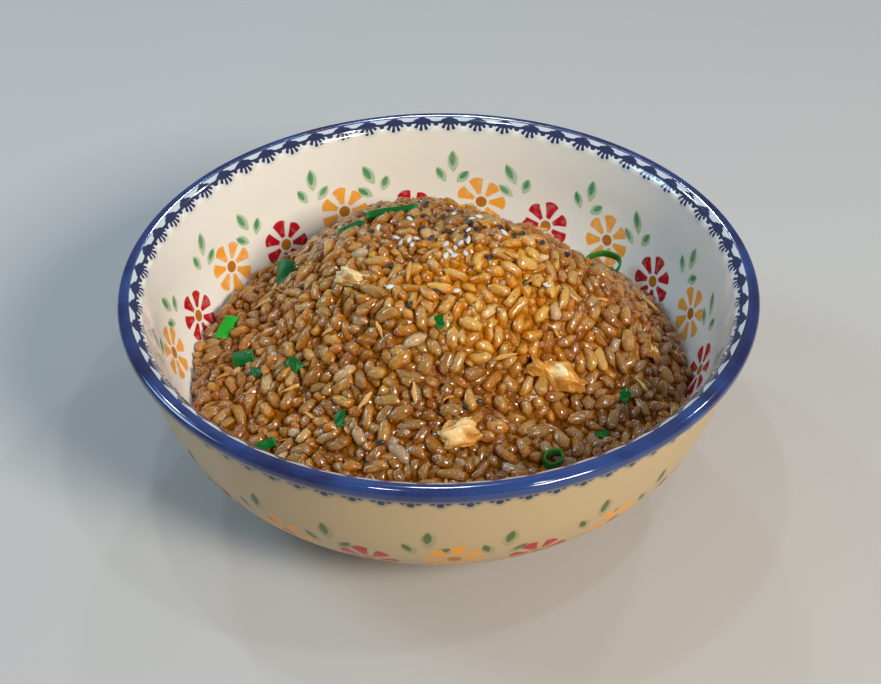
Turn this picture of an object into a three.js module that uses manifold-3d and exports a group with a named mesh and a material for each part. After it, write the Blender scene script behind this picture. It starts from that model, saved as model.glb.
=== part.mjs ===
// Deep glazed bowl heaped with fried rice, with scrambled egg, scallion and sesame.
// Millimetres, +Z up, origin at the middle of the foot ring's underside, bowl front towards -Y.

import * as THREE from 'three';
import { mergeVertices } from 'three/addons/utils/BufferGeometryUtils.js';
import Module from 'manifold-3d';

const wasm = await Module();
wasm.setup();

// Bowl
const RIM_RADIUS = 100;
const BOWL_HEIGHT = 72;
const BOWL_SIDES = 60;
const LIP_BULGE_HEIGHT = 70.2;
const LIP_CROWN_RADIUS = 97.7;
// Wall stations, each [radius, height]
const WALL_OUTER = [
  [50, 8.5], [66, 14], [78, 22.1], [86.2, 31.6], [90.6, 41.1], [93.5, 50.6], [97.5, 66.2],
];
const WALL_INNER = [
  [92.7, 69.2], [90.6, 60], [88.5, 50], [86.2, 42], [82, 32], [75, 23], [62, 14], [45, 9.5],
];
const FLOOR_TOP = 8;
const FOOT_OUTER = 47;
const FOOT_INNER = 41;
const FOOT_RECESS = 4.2;
const FOOT_EASE = 0.8;
const OUTER_STEPS = 6;
const INNER_STEPS = 7;

// Rice heap
const SEAT_GAP = 0.35;
const CAVITY_HEADROOM = 30;
const HEAP_RADIUS = 83;
const HEAP_EDGE_HEIGHT = 33;
const HEAP_CROWN = 6;
const HEAP_RINGS = 26;
const HEAP_REACH = 88;
const DOME_SHARPNESS = 2.8;
const SUMMIT = { x: -7, y: 16, spreadX: 34, spreadY: 44, height: 35 };
const SHOULDER = { x: 43, y: 10, spreadX: 23, spreadY: 23, height: 18 };
const CREASE = { x: 30, y: -35, halfLength: 24, halfWidth: 4, depth: 3.5 };
const EDGE_FADE_FROM = 0.86;

// Grains and seeds
const GRAIN = { length: 7.4, width: 3.3, sides: 5, count: 50, proud: 0.6 };
const BUMP = { length: 8, width: 4, height: 2, pitch: 3.8 };
const SESAME = { length: 3.1, width: 1.8, thickness: 1, sides: 5, count: 44, proud: 0.25 };
const SESAME_PATCH = { x: 10, y: 18, reachX: 51, reachY: 27 };
const LOOSE_TILT = 40;
const SEED_TILT = 30;
const RANDOM_SEED = 20517;

// Toppings: place on the heap, turn about the heap's normal in degrees, and size
const SCALLION_WALL = 0.9;
const SCALLION_TUBE_RADIUS = 5;
const SCALLION_STRIPS = [
  { name: 'scallion_crest_long', x: -15, y: 34, turn: 4, length: 17, width: 4.5 },
  { name: 'scallion_crest_short', x: -28, y: 32, turn: 12, length: 10.5, width: 3.6 },
  { name: 'scallion_left_back', x: -51, y: 33, turn: 88, length: 7.5, width: 6.8 },
  { name: 'scallion_left_bright', x: -71, y: 17, turn: 55, length: 8.5, width: 5.6 },
  { name: 'scallion_left_square', x: -63, y: -3, turn: 2, length: 6.8, width: 5.4 },
  { name: 'scallion_left_small', x: -58, y: -12, turn: -20, length: 4.6, width: 3.4 },
  { name: 'scallion_left_fold', x: -45, y: -17, turn: -50, length: 7.2, width: 4.4 },
  { name: 'scallion_centre_bit', x: 0, y: -18, turn: -75, length: 4.2, width: 3.2 },
  { name: 'scallion_front_bit', x: -30, y: -40, turn: 80, length: 4.8, width: 3.2 },
  { name: 'scallion_front_left', x: -53, y: -42, turn: 15, length: 6, width: 3.6 },
  { name: 'scallion_right_dark', x: 58, y: -23, turn: 70, length: 5, width: 3.6 },
  { name: 'scallion_right_square', x: 50, y: -38, turn: 60, length: 4.4, width: 4 },
];
const SCALLION_RINGS = [
  { name: 'scallion_ring_back', x: 57, y: 46, turn: 0, radius: 6.2, height: 3.4 },
  { name: 'scallion_ring_front', x: 34, y: -51, turn: 30, radius: 3.4, height: 3 },
];
const EGG_LUMPS = [
  { name: 'egg_lump_crest', x: -27, y: 1, turn: -35, length: 10.5, width: 6, height: 6, seed: 11 },
  { name: 'egg_lump_front', x: 5, y: -47, turn: 10, length: 13, width: 9, height: 6.5, seed: 29 },
];
const EGG_SHEETS = [
  { name: 'egg_sheet_right', x: 36, y: -23, turn: -16, length: 21, width: 10, thickness: 1.6, wave: 1.1 },
  { name: 'egg_sheet_edge', x: 68, y: -5, turn: -55, length: 9, width: 4, thickness: 1.3, wave: 0.5 },
];
const STRIP_SINK = 0.5;
const RING_SINK = 0.9;
const SHEET_SINK = 0.8;
const LUMP_SINK_SHARE = 0.35;
const SEAT_CLEAR_ABOVE = 9;
const ROUND_SEAT_SIDES = 12;

const CERAMIC = { color: 0xe9e2d2, roughness: 0.12, metalness: 0 };
const RICE = { color: 0xb9803f, roughness: 0.38, metalness: 0 };
const EGG = { color: 0xe9bd62, roughness: 0.45, metalness: 0 };
const SCALLION = { color: 0x14902a, roughness: 0.3, metalness: 0 };

function seededRandom(seed) {
  let state = seed >>> 0;
  return () => {
    state = (state + 0x6d2b79f5) >>> 0;
    let t = state;
    t = Math.imul(t ^ (t >>> 15), t | 1);
    t ^= t + Math.imul(t ^ (t >>> 7), t | 61);
    return ((t ^ (t >>> 14)) >>> 0) / 4294967296;
  };
}

function bare(geometry) {
  geometry.deleteAttribute('normal');
  geometry.deleteAttribute('uv');
  return mergeVertices(geometry, 1e-4);
}

function toSolid(geometry) {
  const merged = bare(geometry.clone());
  return new wasm.Manifold(new wasm.Mesh({
    numProp: 3,
    vertProperties: new Float32Array(merged.attributes.position.array),
    triVerts: new Uint32Array(merged.index.array),
  }));
}

function toGeometry(solid) {
  const mesh = solid.getMesh();
  const geometry = new THREE.BufferGeometry();
  geometry.setAttribute('position', new THREE.BufferAttribute(new Float32Array(mesh.vertProperties), 3));
  geometry.setIndex(new THREE.BufferAttribute(new Uint32Array(mesh.triVerts), 1));
  geometry.computeVertexNormals();
  return geometry;
}

function namedMesh(name, geometry, finish) {
  const mesh = new THREE.Mesh(geometry, new THREE.MeshStandardMaterial(finish));
  mesh.name = name;
  return mesh;
}

// A smooth run of points through a few [radius, height] stations
function wallRun(stations, steps) {
  const curve = new THREE.SplineCurve(stations.map(([r, z]) => new THREE.Vector2(r, z)));
  return curve.getPoints(steps);
}

function turned(profile) {
  const geometry = new THREE.LatheGeometry(profile, BOWL_SIDES);
  geometry.rotateX(Math.PI / 2);
  return bare(geometry);
}

// The rounded lip bulges past the wall, turns over the crown and leans in to the inner wall
function lipRun() {
  const outerFoot = new THREE.Vector2(...WALL_OUTER.at(-1));
  const innerFoot = new THREE.Vector2(...WALL_INNER[0]);
  const bulge = new THREE.Vector2(RIM_RADIUS, LIP_BULGE_HEIGHT);
  const crown = new THREE.Vector2(LIP_CROWN_RADIUS, BOWL_HEIGHT);
  const underBulge = new THREE.Vector2(RIM_RADIUS, THREE.MathUtils.lerp(outerFoot.y, bulge.y, 0.4));
  const shoulder = new THREE.Vector2(RIM_RADIUS, BOWL_HEIGHT);
  const lean = new THREE.Vector2(THREE.MathUtils.lerp(crown.x, innerFoot.x, 0.5), BOWL_HEIGHT);
  const outside = new THREE.QuadraticBezierCurve(outerFoot, underBulge, bulge);
  const over = new THREE.QuadraticBezierCurve(bulge, shoulder, crown);
  const inside = new THREE.QuadraticBezierCurve(crown, lean, innerFoot);
  return [
    ...outside.getPoints(2).slice(1),
    ...over.getPoints(2).slice(1),
    ...inside.getPoints(3).slice(1, -1),
  ];
}

function bowlGeometry() {
  const profile = [
    new THREE.Vector2(0, FOOT_RECESS),
    new THREE.Vector2(FOOT_INNER - FOOT_EASE, FOOT_RECESS),
    new THREE.Vector2(FOOT_INNER, 0),
    new THREE.Vector2(FOOT_OUTER - FOOT_EASE, 0),
    new THREE.Vector2(FOOT_OUTER, FOOT_EASE),
    ...wallRun(WALL_OUTER, OUTER_STEPS),
    ...lipRun(),
    ...wallRun(WALL_INNER, INNER_STEPS),
    new THREE.Vector2(0, FLOOR_TOP),
  ];
  return turned(profile);
}

// The room inside the bowl that food may fill, a seat gap clear of the glaze
function cavityGeometry() {
  const wall = wallRun(WALL_INNER, INNER_STEPS).reverse();
  const top = BOWL_HEIGHT + CAVITY_HEADROOM;
  const moved = wall.map((point, i) => {
    const before = wall[Math.max(i - 1, 0)];
    const after = wall[Math.min(i + 1, wall.length - 1)];
    const along = after.clone().sub(before).normalize();
    return new THREE.Vector2(point.x - along.y * SEAT_GAP, point.y + along.x * SEAT_GAP);
  });
  return turned([
    new THREE.Vector2(0, FLOOR_TOP + SEAT_GAP),
    ...moved,
    new THREE.Vector2(moved.at(-1).x, top),
    new THREE.Vector2(0, top),
  ]);
}

function dome(x, y, { x: cx, y: cy, spreadX, spreadY, height }) {
  const reach = Math.hypot((x - cx) / spreadX, (y - cy) / spreadY);
  return height * Math.exp(-0.5 * reach ** DOME_SHARPNESS);
}

// Height of the bare heap: a crowned bed, the summit, its right shoulder and the front crease
function heapHeight(x, y) {
  const reach = Math.min(Math.hypot(x, y) / HEAP_RADIUS, 1);
  const crown = HEAP_CROWN * (1 - reach * reach);
  const fade = 1 - Math.max((reach - EDGE_FADE_FROM) / (1 - EDGE_FADE_FROM), 0) ** 2;
  const acrossCrease = (y - CREASE.y) / CREASE.halfWidth;
  const alongCrease = (x - CREASE.x) / CREASE.halfLength;
  const crease = CREASE.depth * Math.exp(-(acrossCrease ** 2) - alongCrease ** 2);
  const rise = crown + dome(x, y, SUMMIT) + dome(x, y, SHOULDER);
  return HEAP_EDGE_HEIGHT + rise * fade - crease;
}

function heapNormal(x, y) {
  const step = 1.5;
  const dx = (heapHeight(x + step, y) - heapHeight(x - step, y)) / (2 * step);
  const dy = (heapHeight(x, y + step) - heapHeight(x, y - step)) / (2 * step);
  return new THREE.Vector3(-dx, -dy, 1).normalize();
}

// Grain-size bumps over the whole heap: each cell of a jittered grid holds one lying grain
function grainRelief(seed) {
  const cells = new Map();
  const cellHash = (i, j) => seededRandom(seed + i * 7919 + j * 104729);
  const grainIn = (i, j) => {
    const key = `${i},${j}`;
    if (!cells.has(key)) {
      const draw = cellHash(i, j);
      cells.set(key, {
        x: (i + draw()) * BUMP.pitch,
        y: (j + draw()) * BUMP.pitch,
        angle: draw() * Math.PI,
        lift: 0.5 + 0.5 * draw(),
      });
    }
    return cells.get(key);
  };
  return (x, y) => {
    let best = 0;
    const ci = Math.floor(x / BUMP.pitch);
    const cj = Math.floor(y / BUMP.pitch);
    for (let i = ci - 1; i <= ci + 1; i += 1) {
      for (let j = cj - 1; j <= cj + 1; j += 1) {
        const grain = grainIn(i, j);
        const dx = x - grain.x;
        const dy = y - grain.y;
        const along = (dx * Math.cos(grain.angle) + dy * Math.sin(grain.angle)) / (BUMP.length / 2);
        const across = (-dx * Math.sin(grain.angle) + dy * Math.cos(grain.angle)) / (BUMP.width / 2);
        const inside = 1 - along * along - across * across;
        if (inside > 0) best = Math.max(best, BUMP.height * grain.lift * Math.sqrt(inside));
      }
    }
    return best - BUMP.height / 2;
  };
}

// A closed column under the bumpy heap surface, built of rings that hold six more points each
function heapColumn() {
  const relief = grainRelief(RANDOM_SEED);
  const bottom = FLOOR_TOP / 2;
  const positions = [];
  const ringStart = [0];
  const addPoint = (x, y, z) => positions.push(x, y, z);
  addPoint(0, 0, heapHeight(0, 0) + relief(0, 0));
  for (let ring = 1; ring <= HEAP_RINGS; ring += 1) {
    ringStart.push(positions.length / 3);
    const radius = (ring / HEAP_RINGS) * HEAP_REACH;
    for (let k = 0; k < 6 * ring; k += 1) {
      const angle = (k / (6 * ring)) * 2 * Math.PI;
      const x = radius * Math.cos(angle);
      const y = radius * Math.sin(angle);
      addPoint(x, y, heapHeight(x, y) + relief(x, y));
    }
  }
  const outer = ringStart[HEAP_RINGS];
  const outerCount = 6 * HEAP_RINGS;
  const skirt = positions.length / 3;
  for (let k = 0; k < outerCount; k += 1) {
    addPoint(positions[3 * (outer + k)], positions[3 * (outer + k) + 1], bottom);
  }
  const hub = positions.length / 3;
  addPoint(0, 0, bottom);

  const index = [];
  for (let ring = 1; ring <= HEAP_RINGS; ring += 1) {
    for (let side = 0; side < 6; side += 1) {
      for (let k = 0; k < ring; k += 1) {
        const out = (n) => ringStart[ring] + ((side * ring + n) % (6 * ring));
        const inn = (n) => (
          ring === 1 ? 0 : ringStart[ring - 1] + ((side * (ring - 1) + n) % (6 * (ring - 1))));
        index.push(inn(k), out(k), out(k + 1));
        if (k < ring - 1) index.push(inn(k), out(k + 1), inn(k + 1));
      }
    }
  }
  for (let k = 0; k < outerCount; k += 1) {
    const next = (k + 1) % outerCount;
    index.push(outer + k, skirt + k, outer + next);
    index.push(outer + next, skirt + k, skirt + next);
    index.push(hub, skirt + next, skirt + k);
  }
  const geometry = new THREE.BufferGeometry();
  geometry.setAttribute('position', new THREE.Float32BufferAttribute(positions, 3));
  geometry.setIndex(index);
  return geometry;
}

// A frame on the heap: local Z along the heap's normal, local X turned about it
function heapFrame(x, y, turnDegrees, lift, tiltDegrees = 0) {
  const normal = heapNormal(x, y);
  const frame = new THREE.Object3D();
  frame.position.set(x, y, heapHeight(x, y)).addScaledVector(normal, lift);
  const stand = new THREE.Quaternion().setFromUnitVectors(new THREE.Vector3(0, 0, 1), normal);
  const turn = new THREE.Quaternion().setFromAxisAngle(
    new THREE.Vector3(0, 0, 1), THREE.MathUtils.degToRad(turnDegrees));
  const tilt = new THREE.Quaternion().setFromAxisAngle(
    new THREE.Vector3(0, 1, 0), THREE.MathUtils.degToRad(tiltDegrees));
  frame.quaternion.copy(stand).multiply(turn).multiply(tilt);
  frame.updateMatrix();
  return frame;
}

// A plump grain along local X with a few flat sides
function grainGeometry({ length, width, sides }, thickness = width) {
  const profile = [
    new THREE.Vector2(0, -length / 2),
    new THREE.Vector2(width * 0.43, -length / 4),
    new THREE.Vector2(width * 0.43, length / 4),
    new THREE.Vector2(0, length / 2),
  ];
  const geometry = new THREE.LatheGeometry(profile, sides);
  geometry.rotateZ(-Math.PI / 2);
  geometry.scale(1, 1, thickness / width);
  return bare(geometry);
}

function seedGeometry({ length, width, thickness, sides }) {
  const profile = [
    new THREE.Vector2(0, -length / 2),
    new THREE.Vector2(width / 2, length / 8),
    new THREE.Vector2(0, length / 2),
  ];
  const geometry = new THREE.LatheGeometry(profile, sides);
  geometry.rotateZ(-Math.PI / 2);
  geometry.scale(1, 1, thickness / width);
  return bare(geometry);
}

// A strip cut from a hollow scallion leaf, curved across its width like the tube it came from
function stripGeometry({ length, width }) {
  const outer = SCALLION_TUBE_RADIUS;
  const inner = outer - SCALLION_WALL;
  const half = width / 2 / outer;
  const shape = new THREE.Shape();
  shape.absarc(0, 0, outer, Math.PI / 2 - half, Math.PI / 2 + half, false);
  shape.absarc(0, 0, inner, Math.PI / 2 + half, Math.PI / 2 - half, true);
  shape.closePath();
  const extrusion = { depth: length, bevelEnabled: false, curveSegments: 4 };
  const geometry = new THREE.ExtrudeGeometry(shape, extrusion);
  geometry.translate(0, -inner * Math.cos(half), -length / 2);
  geometry.rotateX(Math.PI / 2);
  geometry.rotateZ(Math.PI / 2);
  return bare(geometry);
}

// A ring cut from a scallion, lying with its hole up
function ringGeometry({ radius, height }) {
  const inner = radius - SCALLION_WALL;
  const profile = [
    new THREE.Vector2(inner, 0),
    new THREE.Vector2(radius, 0),
    new THREE.Vector2(radius, height),
    new THREE.Vector2(inner, height),
    new THREE.Vector2(inner, 0),
  ];
  const geometry = new THREE.LatheGeometry(profile, 16);
  geometry.rotateX(Math.PI / 2);
  return bare(geometry);
}

// A torn lump of scrambled egg
function lumpGeometry({ length, width, height, seed }) {
  const geometry = bare(new THREE.IcosahedronGeometry(1, 2));
  const draw = seededRandom(seed);
  const position = geometry.attributes.position;
  for (let i = 0; i < position.count; i += 1) {
    const swell = 0.8 + 0.2 * draw();
    position.setXYZ(
      i, position.getX(i) * swell * length / 2, position.getY(i) * swell * width / 2,
      position.getZ(i) * swell * height / 2);
  }
  geometry.translate(0, 0, height / 2);
  return geometry;
}

// A thin fold of fried egg, waved along its length
function sheetGeometry({ length, width, thickness, wave }) {
  const geometry = bare(new THREE.BoxGeometry(length, width, thickness, 7, 4, 1));
  const position = geometry.attributes.position;
  for (let i = 0; i < position.count; i += 1) {
    const u = position.getX(i) / length;
    const v = position.getY(i) / width;
    const taper = 1 - 0.9 * u * u;
    const lift = wave * (Math.sin(u * 9 + v * 2) + Math.cos(v * 5) + 1.85) + thickness / 2;
    position.setXYZ(i, position.getX(i), position.getY(i) * taper, position.getZ(i) + lift);
  }
  return geometry;
}

// The pocket a topping lies in, clear of it all round and open above
function seatGeometry(length, width, isRound) {
  const depth = SEAT_GAP + SEAT_CLEAR_ABOVE;
  const sides = isRound ? ROUND_SEAT_SIDES : 4;
  const halfTurn = Math.PI / sides;
  const corner = 0.5 / Math.cos(halfTurn);
  const geometry = new THREE.CylinderGeometry(corner, corner, depth, sides, 1, false, halfTurn);
  geometry.rotateX(Math.PI / 2);
  geometry.scale(length + 2 * SEAT_GAP, width + 2 * SEAT_GAP, 1);
  geometry.translate(0, 0, depth / 2 - SEAT_GAP);
  return geometry;
}

function toppingPlan() {
  const plan = [];
  for (const strip of SCALLION_STRIPS) {
    plan.push({ ...strip, geometry: stripGeometry(strip), finish: SCALLION, sink: STRIP_SINK,
      footprint: [strip.length, strip.width], isRound: false });
  }
  for (const ring of SCALLION_RINGS) {
    plan.push({ ...ring, geometry: ringGeometry(ring), finish: SCALLION, sink: RING_SINK,
      footprint: [2 * ring.radius, 2 * ring.radius], isRound: true });
  }
  for (const lump of EGG_LUMPS) {
    plan.push({ ...lump, geometry: lumpGeometry(lump), finish: EGG, sink: lump.height * LUMP_SINK_SHARE,
      footprint: [lump.length, lump.width], isRound: true });
  }
  for (const sheet of EGG_SHEETS) {
    plan.push({ ...sheet, geometry: sheetGeometry(sheet), finish: EGG, sink: SHEET_SINK,
      footprint: [sheet.length, sheet.width], isRound: false });
  }
  return plan;
}

function clearOf(plan, x, y, margin) {
  return plan.every(({ x: tx, y: ty, footprint: [length, width] }) => (
    Math.hypot(x - tx, y - ty) > Math.hypot(length, width) / 2 + margin));
}

// Loose grains lie proud all over the heap, evenly spread by the golden angle
function looseGrains(plan, draw) {
  const geometry = grainGeometry(GRAIN);
  const grains = [];
  const goldenAngle = Math.PI * (3 - Math.sqrt(5));
  for (let n = 0; n < GRAIN.count; n += 1) {
    const radius = (HEAP_RADIUS - GRAIN.length) * Math.sqrt((n + 0.5) / GRAIN.count);
    const x = radius * Math.cos(n * goldenAngle);
    const y = radius * Math.sin(n * goldenAngle);
    const frame = heapFrame(x, y, draw() * 180, GRAIN.proud, (draw() - 0.5) * LOOSE_TILT);
    if (clearOf(plan, x, y, GRAIN.length / 2 + 0.5)) {
      grains.push(toSolid(geometry.clone().applyMatrix4(frame.matrix)));
    }
  }
  return grains;
}

// Sesame lies thickest on the summit and thins out down the slopes
function sesameSeeds(plan, draw) {
  const geometry = seedGeometry(SESAME);
  const seeds = [];
  for (let n = 0; n < SESAME.count; n += 1) {
    const share = (n + 0.5) / SESAME.count;
    const angle = draw() * 2 * Math.PI;
    const x = SESAME_PATCH.x + SESAME_PATCH.reachX * share * Math.cos(angle);
    const y = SESAME_PATCH.y + SESAME_PATCH.reachY * share * Math.sin(angle);
    const lift = SESAME.proud + BUMP.height / 4;
    const frame = heapFrame(x, y, draw() * 360, lift, (draw() - 0.5) * SEED_TILT);
    if (clearOf(plan, x, y, SESAME.length / 2 + 0.5)) {
      seeds.push(toSolid(geometry.clone().applyMatrix4(frame.matrix)));
    }
  }
  return seeds;
}

// Leaves out scraps that a seat cuts off at the glaze and seeds that touch nothing
function largestPart(solid) {
  return solid.decompose().reduce((best, part) => (part.volume() > best.volume() ? part : best));
}

function riceGeometry(plan) {
  const draw = seededRandom(RANDOM_SEED);
  let heap = toSolid(heapColumn()).intersect(toSolid(cavityGeometry()));
  for (const { x, y, turn, sink, footprint, isRound } of plan) {
    const frame = heapFrame(x, y, turn, -sink);
    const seat = seatGeometry(...footprint, isRound).applyMatrix4(frame.matrix);
    heap = heap.subtract(toSolid(seat));
  }
  for (const piece of [...looseGrains(plan, draw), ...sesameSeeds(plan, draw)]) {
    heap = heap.add(piece);
  }
  return toGeometry(largestPart(heap));
}

const group = new THREE.Group();
const plan = toppingPlan();
group.add(namedMesh('bowl', bowlGeometry(), CERAMIC));
group.add(namedMesh('rice', riceGeometry(plan), RICE));
for (const { name, geometry, finish, x, y, turn, sink } of plan) {
  const mesh = namedMesh(name, geometry, finish);
  const frame = heapFrame(x, y, turn, -sink);
  mesh.position.copy(frame.position);
  mesh.quaternion.copy(frame.quaternion);
  group.add(mesh);
}

export default group;
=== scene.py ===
"""Fried rice heaped in a deep bowl: every grain, the egg, scallion and sesame, and the stamped glaze."""
import math

import bmesh
import bpy
import numpy as np
from mathutils import Matrix, Quaternion, Vector
from mathutils.bvhtree import BVHTree
from mathutils.kdtree import KDTree


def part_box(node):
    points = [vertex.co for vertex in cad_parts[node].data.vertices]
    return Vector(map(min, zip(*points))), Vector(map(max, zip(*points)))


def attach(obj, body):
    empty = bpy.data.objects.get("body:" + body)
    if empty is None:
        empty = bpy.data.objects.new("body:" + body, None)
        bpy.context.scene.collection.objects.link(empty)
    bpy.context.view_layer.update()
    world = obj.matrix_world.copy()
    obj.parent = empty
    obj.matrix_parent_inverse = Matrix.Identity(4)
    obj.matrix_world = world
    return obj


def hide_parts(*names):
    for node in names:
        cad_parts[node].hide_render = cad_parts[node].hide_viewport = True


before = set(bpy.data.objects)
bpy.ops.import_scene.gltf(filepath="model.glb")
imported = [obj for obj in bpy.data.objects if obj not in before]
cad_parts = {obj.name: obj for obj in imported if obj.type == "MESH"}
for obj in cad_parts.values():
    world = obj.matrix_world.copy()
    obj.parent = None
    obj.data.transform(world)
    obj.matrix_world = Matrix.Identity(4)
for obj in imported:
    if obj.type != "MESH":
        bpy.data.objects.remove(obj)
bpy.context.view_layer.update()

MM = 0.001
BODY = "root"

# The photograph's camera, from the bowl's fitted outline
PHOTO_SIZE = (881, 684)
PHOTO_FOCAL_PX = 1545.6
CAMERA_PLACE = Vector((0.0, -0.3942, 0.3572))
CAMERA_PITCH = math.radians(38.48)
CAMERA_YAW = math.radians(0.07)
CAMERA_ROLL = math.radians(-0.48)
SENSOR_WIDTH = 36.0

# The heap of rice, in millimetres, as the solid has it
HEAP_RADIUS = 83.0
HEAP_EDGE_HEIGHT = 33.0
HEAP_CROWN = 6.0
DOME_SHARPNESS = 2.8
SUMMIT = {"x": -7, "y": 16, "spread_x": 34, "spread_y": 44, "height": 35}
SHOULDER = {"x": 43, "y": 10, "spread_x": 23, "spread_y": 23, "height": 18}
CREASE = {"x": 30, "y": -35, "half_length": 24, "half_width": 4, "depth": 3.5}
EDGE_FADE_FROM = 0.86
SLOPE_STEP = 1.5

# Bowl profile stations in millimetres, each (radius, height)
RIM_RADIUS = 100.0
BOWL_HEIGHT = 72.0
WALL_OUTER = [(50, 8.5), (66, 14), (78, 22.1), (86.2, 31.6), (90.6, 41.1), (93.5, 50.6), (97.5, 66.2)]
WALL_INNER = [(92.7, 69.2), (90.6, 60), (88.5, 50), (86.2, 42), (82, 32), (75, 23), (62, 14), (45, 9.5)]
LIP_BULGE_HEIGHT = 70.2
LIP_CROWN_RADIUS = 97.7
FOOT_OUTER = 47.0
FOOT_INNER = 41.0
FOOT_RECESS = 4.2
FLOOR_TOP = 8.0


def dome(x, y, d):
    reach = np.hypot((x - d["x"]) / d["spread_x"], (y - d["y"]) / d["spread_y"])
    return d["height"] * np.exp(-0.5 * reach ** DOME_SHARPNESS)


def heap_height(x, y):
    """Height of the bare heap in millimetres, for numbers or arrays."""
    reach = np.minimum(np.hypot(x, y) / HEAP_RADIUS, 1.0)
    crown = HEAP_CROWN * (1 - reach ** 2)
    fade = 1 - np.maximum((reach - EDGE_FADE_FROM) / (1 - EDGE_FADE_FROM), 0) ** 2
    across = (y - CREASE["y"]) / CREASE["half_width"]
    along = (x - CREASE["x"]) / CREASE["half_length"]
    crease = CREASE["depth"] * np.exp(-across ** 2 - along ** 2)
    rise = crown + dome(x, y, SUMMIT) + dome(x, y, SHOULDER)
    return HEAP_EDGE_HEIGHT + rise * fade - crease


def heap_normal(x, y):
    """Unit normals of the bare heap, one row for each place."""
    dx = (heap_height(x + SLOPE_STEP, y) - heap_height(x - SLOPE_STEP, y)) / (2 * SLOPE_STEP)
    dy = (heap_height(x, y + SLOPE_STEP) - heap_height(x, y - SLOPE_STEP)) / (2 * SLOPE_STEP)
    n = np.stack([-dx, -dy, np.ones_like(dx)], -1)
    return n / np.linalg.norm(n, axis=-1, keepdims=True)


def wall_radius(z):
    """Inner radius of the bowl at a height, in millimetres."""
    radii, heights = zip(*reversed(WALL_INNER))
    return np.interp(z, heights, radii)


# Camera

def camera_turn():
    base = Matrix.Rotation(-CAMERA_YAW, 3, "Z") @ Matrix.Rotation(math.pi / 2 - CAMERA_PITCH, 3, "X")
    return base @ Matrix.Rotation(CAMERA_ROLL, 3, "Z")


def make_camera():
    data = bpy.data.cameras.new("camera")
    data.sensor_width = SENSOR_WIDTH
    data.lens = PHOTO_FOCAL_PX * SENSOR_WIDTH / PHOTO_SIZE[0]
    data.clip_start = 0.01
    camera = bpy.data.objects.new("camera", data)
    camera.location = CAMERA_PLACE
    camera.rotation_euler = camera_turn().to_euler()
    bpy.context.scene.camera = link(camera)


def photo_ray(u, v):
    """Direction of the sight line through a pixel of the photograph."""
    across = (u - PHOTO_SIZE[0] / 2) / PHOTO_FOCAL_PX
    down = (v - PHOTO_SIZE[1] / 2) / PHOTO_FOCAL_PX
    return (camera_turn() @ Vector((across, -down, -1))).normalized()


# Shader formulas

class Term:
    """A number or socket in a shader formula; arithmetic on it adds Math nodes."""

    def __init__(self, tree, socket):
        self.tree = tree
        self.socket = socket

    def math(self, operation, *others, clamp=False):
        node = self.tree.nodes.new("ShaderNodeMath")
        node.operation = operation
        node.use_clamp = clamp
        for slot, value in zip(node.inputs, (self, *others)):
            if isinstance(value, Term):
                self.tree.links.new(value.socket, slot)
            else:
                slot.default_value = value
        return Term(self.tree, node.outputs[0])

    def __add__(self, other):
        return self.math("ADD", other)

    def __sub__(self, other):
        return self.math("SUBTRACT", other)

    def __mul__(self, other):
        return self.math("MULTIPLY", other)

    def __truediv__(self, other):
        return self.math("DIVIDE", other)

    def __abs__(self):
        return self.math("ABSOLUTE")

    def inverse(self):
        """One less this."""
        return (self * -1) + 1

    def squared(self):
        return self * self

    def rise(self, start, end):
        """0 below start, 1 above end, smooth between."""
        node = self.tree.nodes.new("ShaderNodeMapRange")
        node.interpolation_type = "SMOOTHSTEP"
        self.tree.links.new(self.socket, node.inputs["Value"])
        node.inputs["From Min"].default_value = start
        node.inputs["From Max"].default_value = end
        return Term(self.tree, node.outputs["Result"])

    def fall(self, start, end):
        return self.rise(start, end).inverse()

    def larger(self, other):
        return self.math("MAXIMUM", other)

    def smaller(self, other):
        return self.math("MINIMUM", other)

    def reach(self, other):
        """Distance from nought of this and other as a pair of coordinates."""
        return (self.squared() + other.squared()).math("SQRT")

    def chance(self, salt):
        """A steady random number for each whole value."""
        node = self.tree.nodes.new("ShaderNodeTexWhiteNoise")
        node.noise_dimensions = "1D"
        self.tree.links.new((self + salt).socket, node.inputs["W"])
        return Term(self.tree, node.outputs["Value"])

    def bump(self, strength, distance):
        """The normal of a surface that stands this high, in parts of a distance in metres."""
        node = self.tree.nodes.new("ShaderNodeBump")
        node.inputs["Strength"].default_value = strength
        node.inputs["Distance"].default_value = distance
        self.tree.links.new(self.socket, node.inputs["Height"])
        return Term(self.tree, node.outputs["Normal"])

    def turned(self, other, angle):
        """This and other as a pair of coordinates, turned by an angle."""
        c, s = math.cos(angle), math.sin(angle)
        return self * c + other * s, other * c - self * s


def largest(terms):
    """The greatest of several terms at each place."""
    first, *others = terms
    for other in others:
        first = first.larger(other)
    return first


def new_group(name, inputs, outputs):
    """A node group with number inputs and outputs; gives the inputs as terms, and the group's exit."""
    tree = bpy.data.node_groups.new(name, "ShaderNodeTree")
    for way, labels in (("INPUT", inputs), ("OUTPUT", outputs)):
        for label in labels.split():
            tree.interface.new_socket(label, in_out=way, socket_type="NodeSocketFloat")
    entry = tree.nodes.new("NodeGroupInput")
    leave = tree.nodes.new("NodeGroupOutput")
    return [Term(tree, entry.outputs[label]) for label in inputs.split()], leave


def give(node, **terms):
    """Feeds a node's sockets by name, such as a shader's or a group's exit; gives the node's tree."""
    for label, term in terms.items():
        term.tree.links.new(term.socket, node.inputs[label.replace("_", " ")])
    return node.id_data


def settle(node, **values):
    """Sets a node's own sockets by name, such as what is the same all over a surface."""
    for label, value in values.items():
        node.inputs[label.replace("_", " ")].default_value = value


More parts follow.
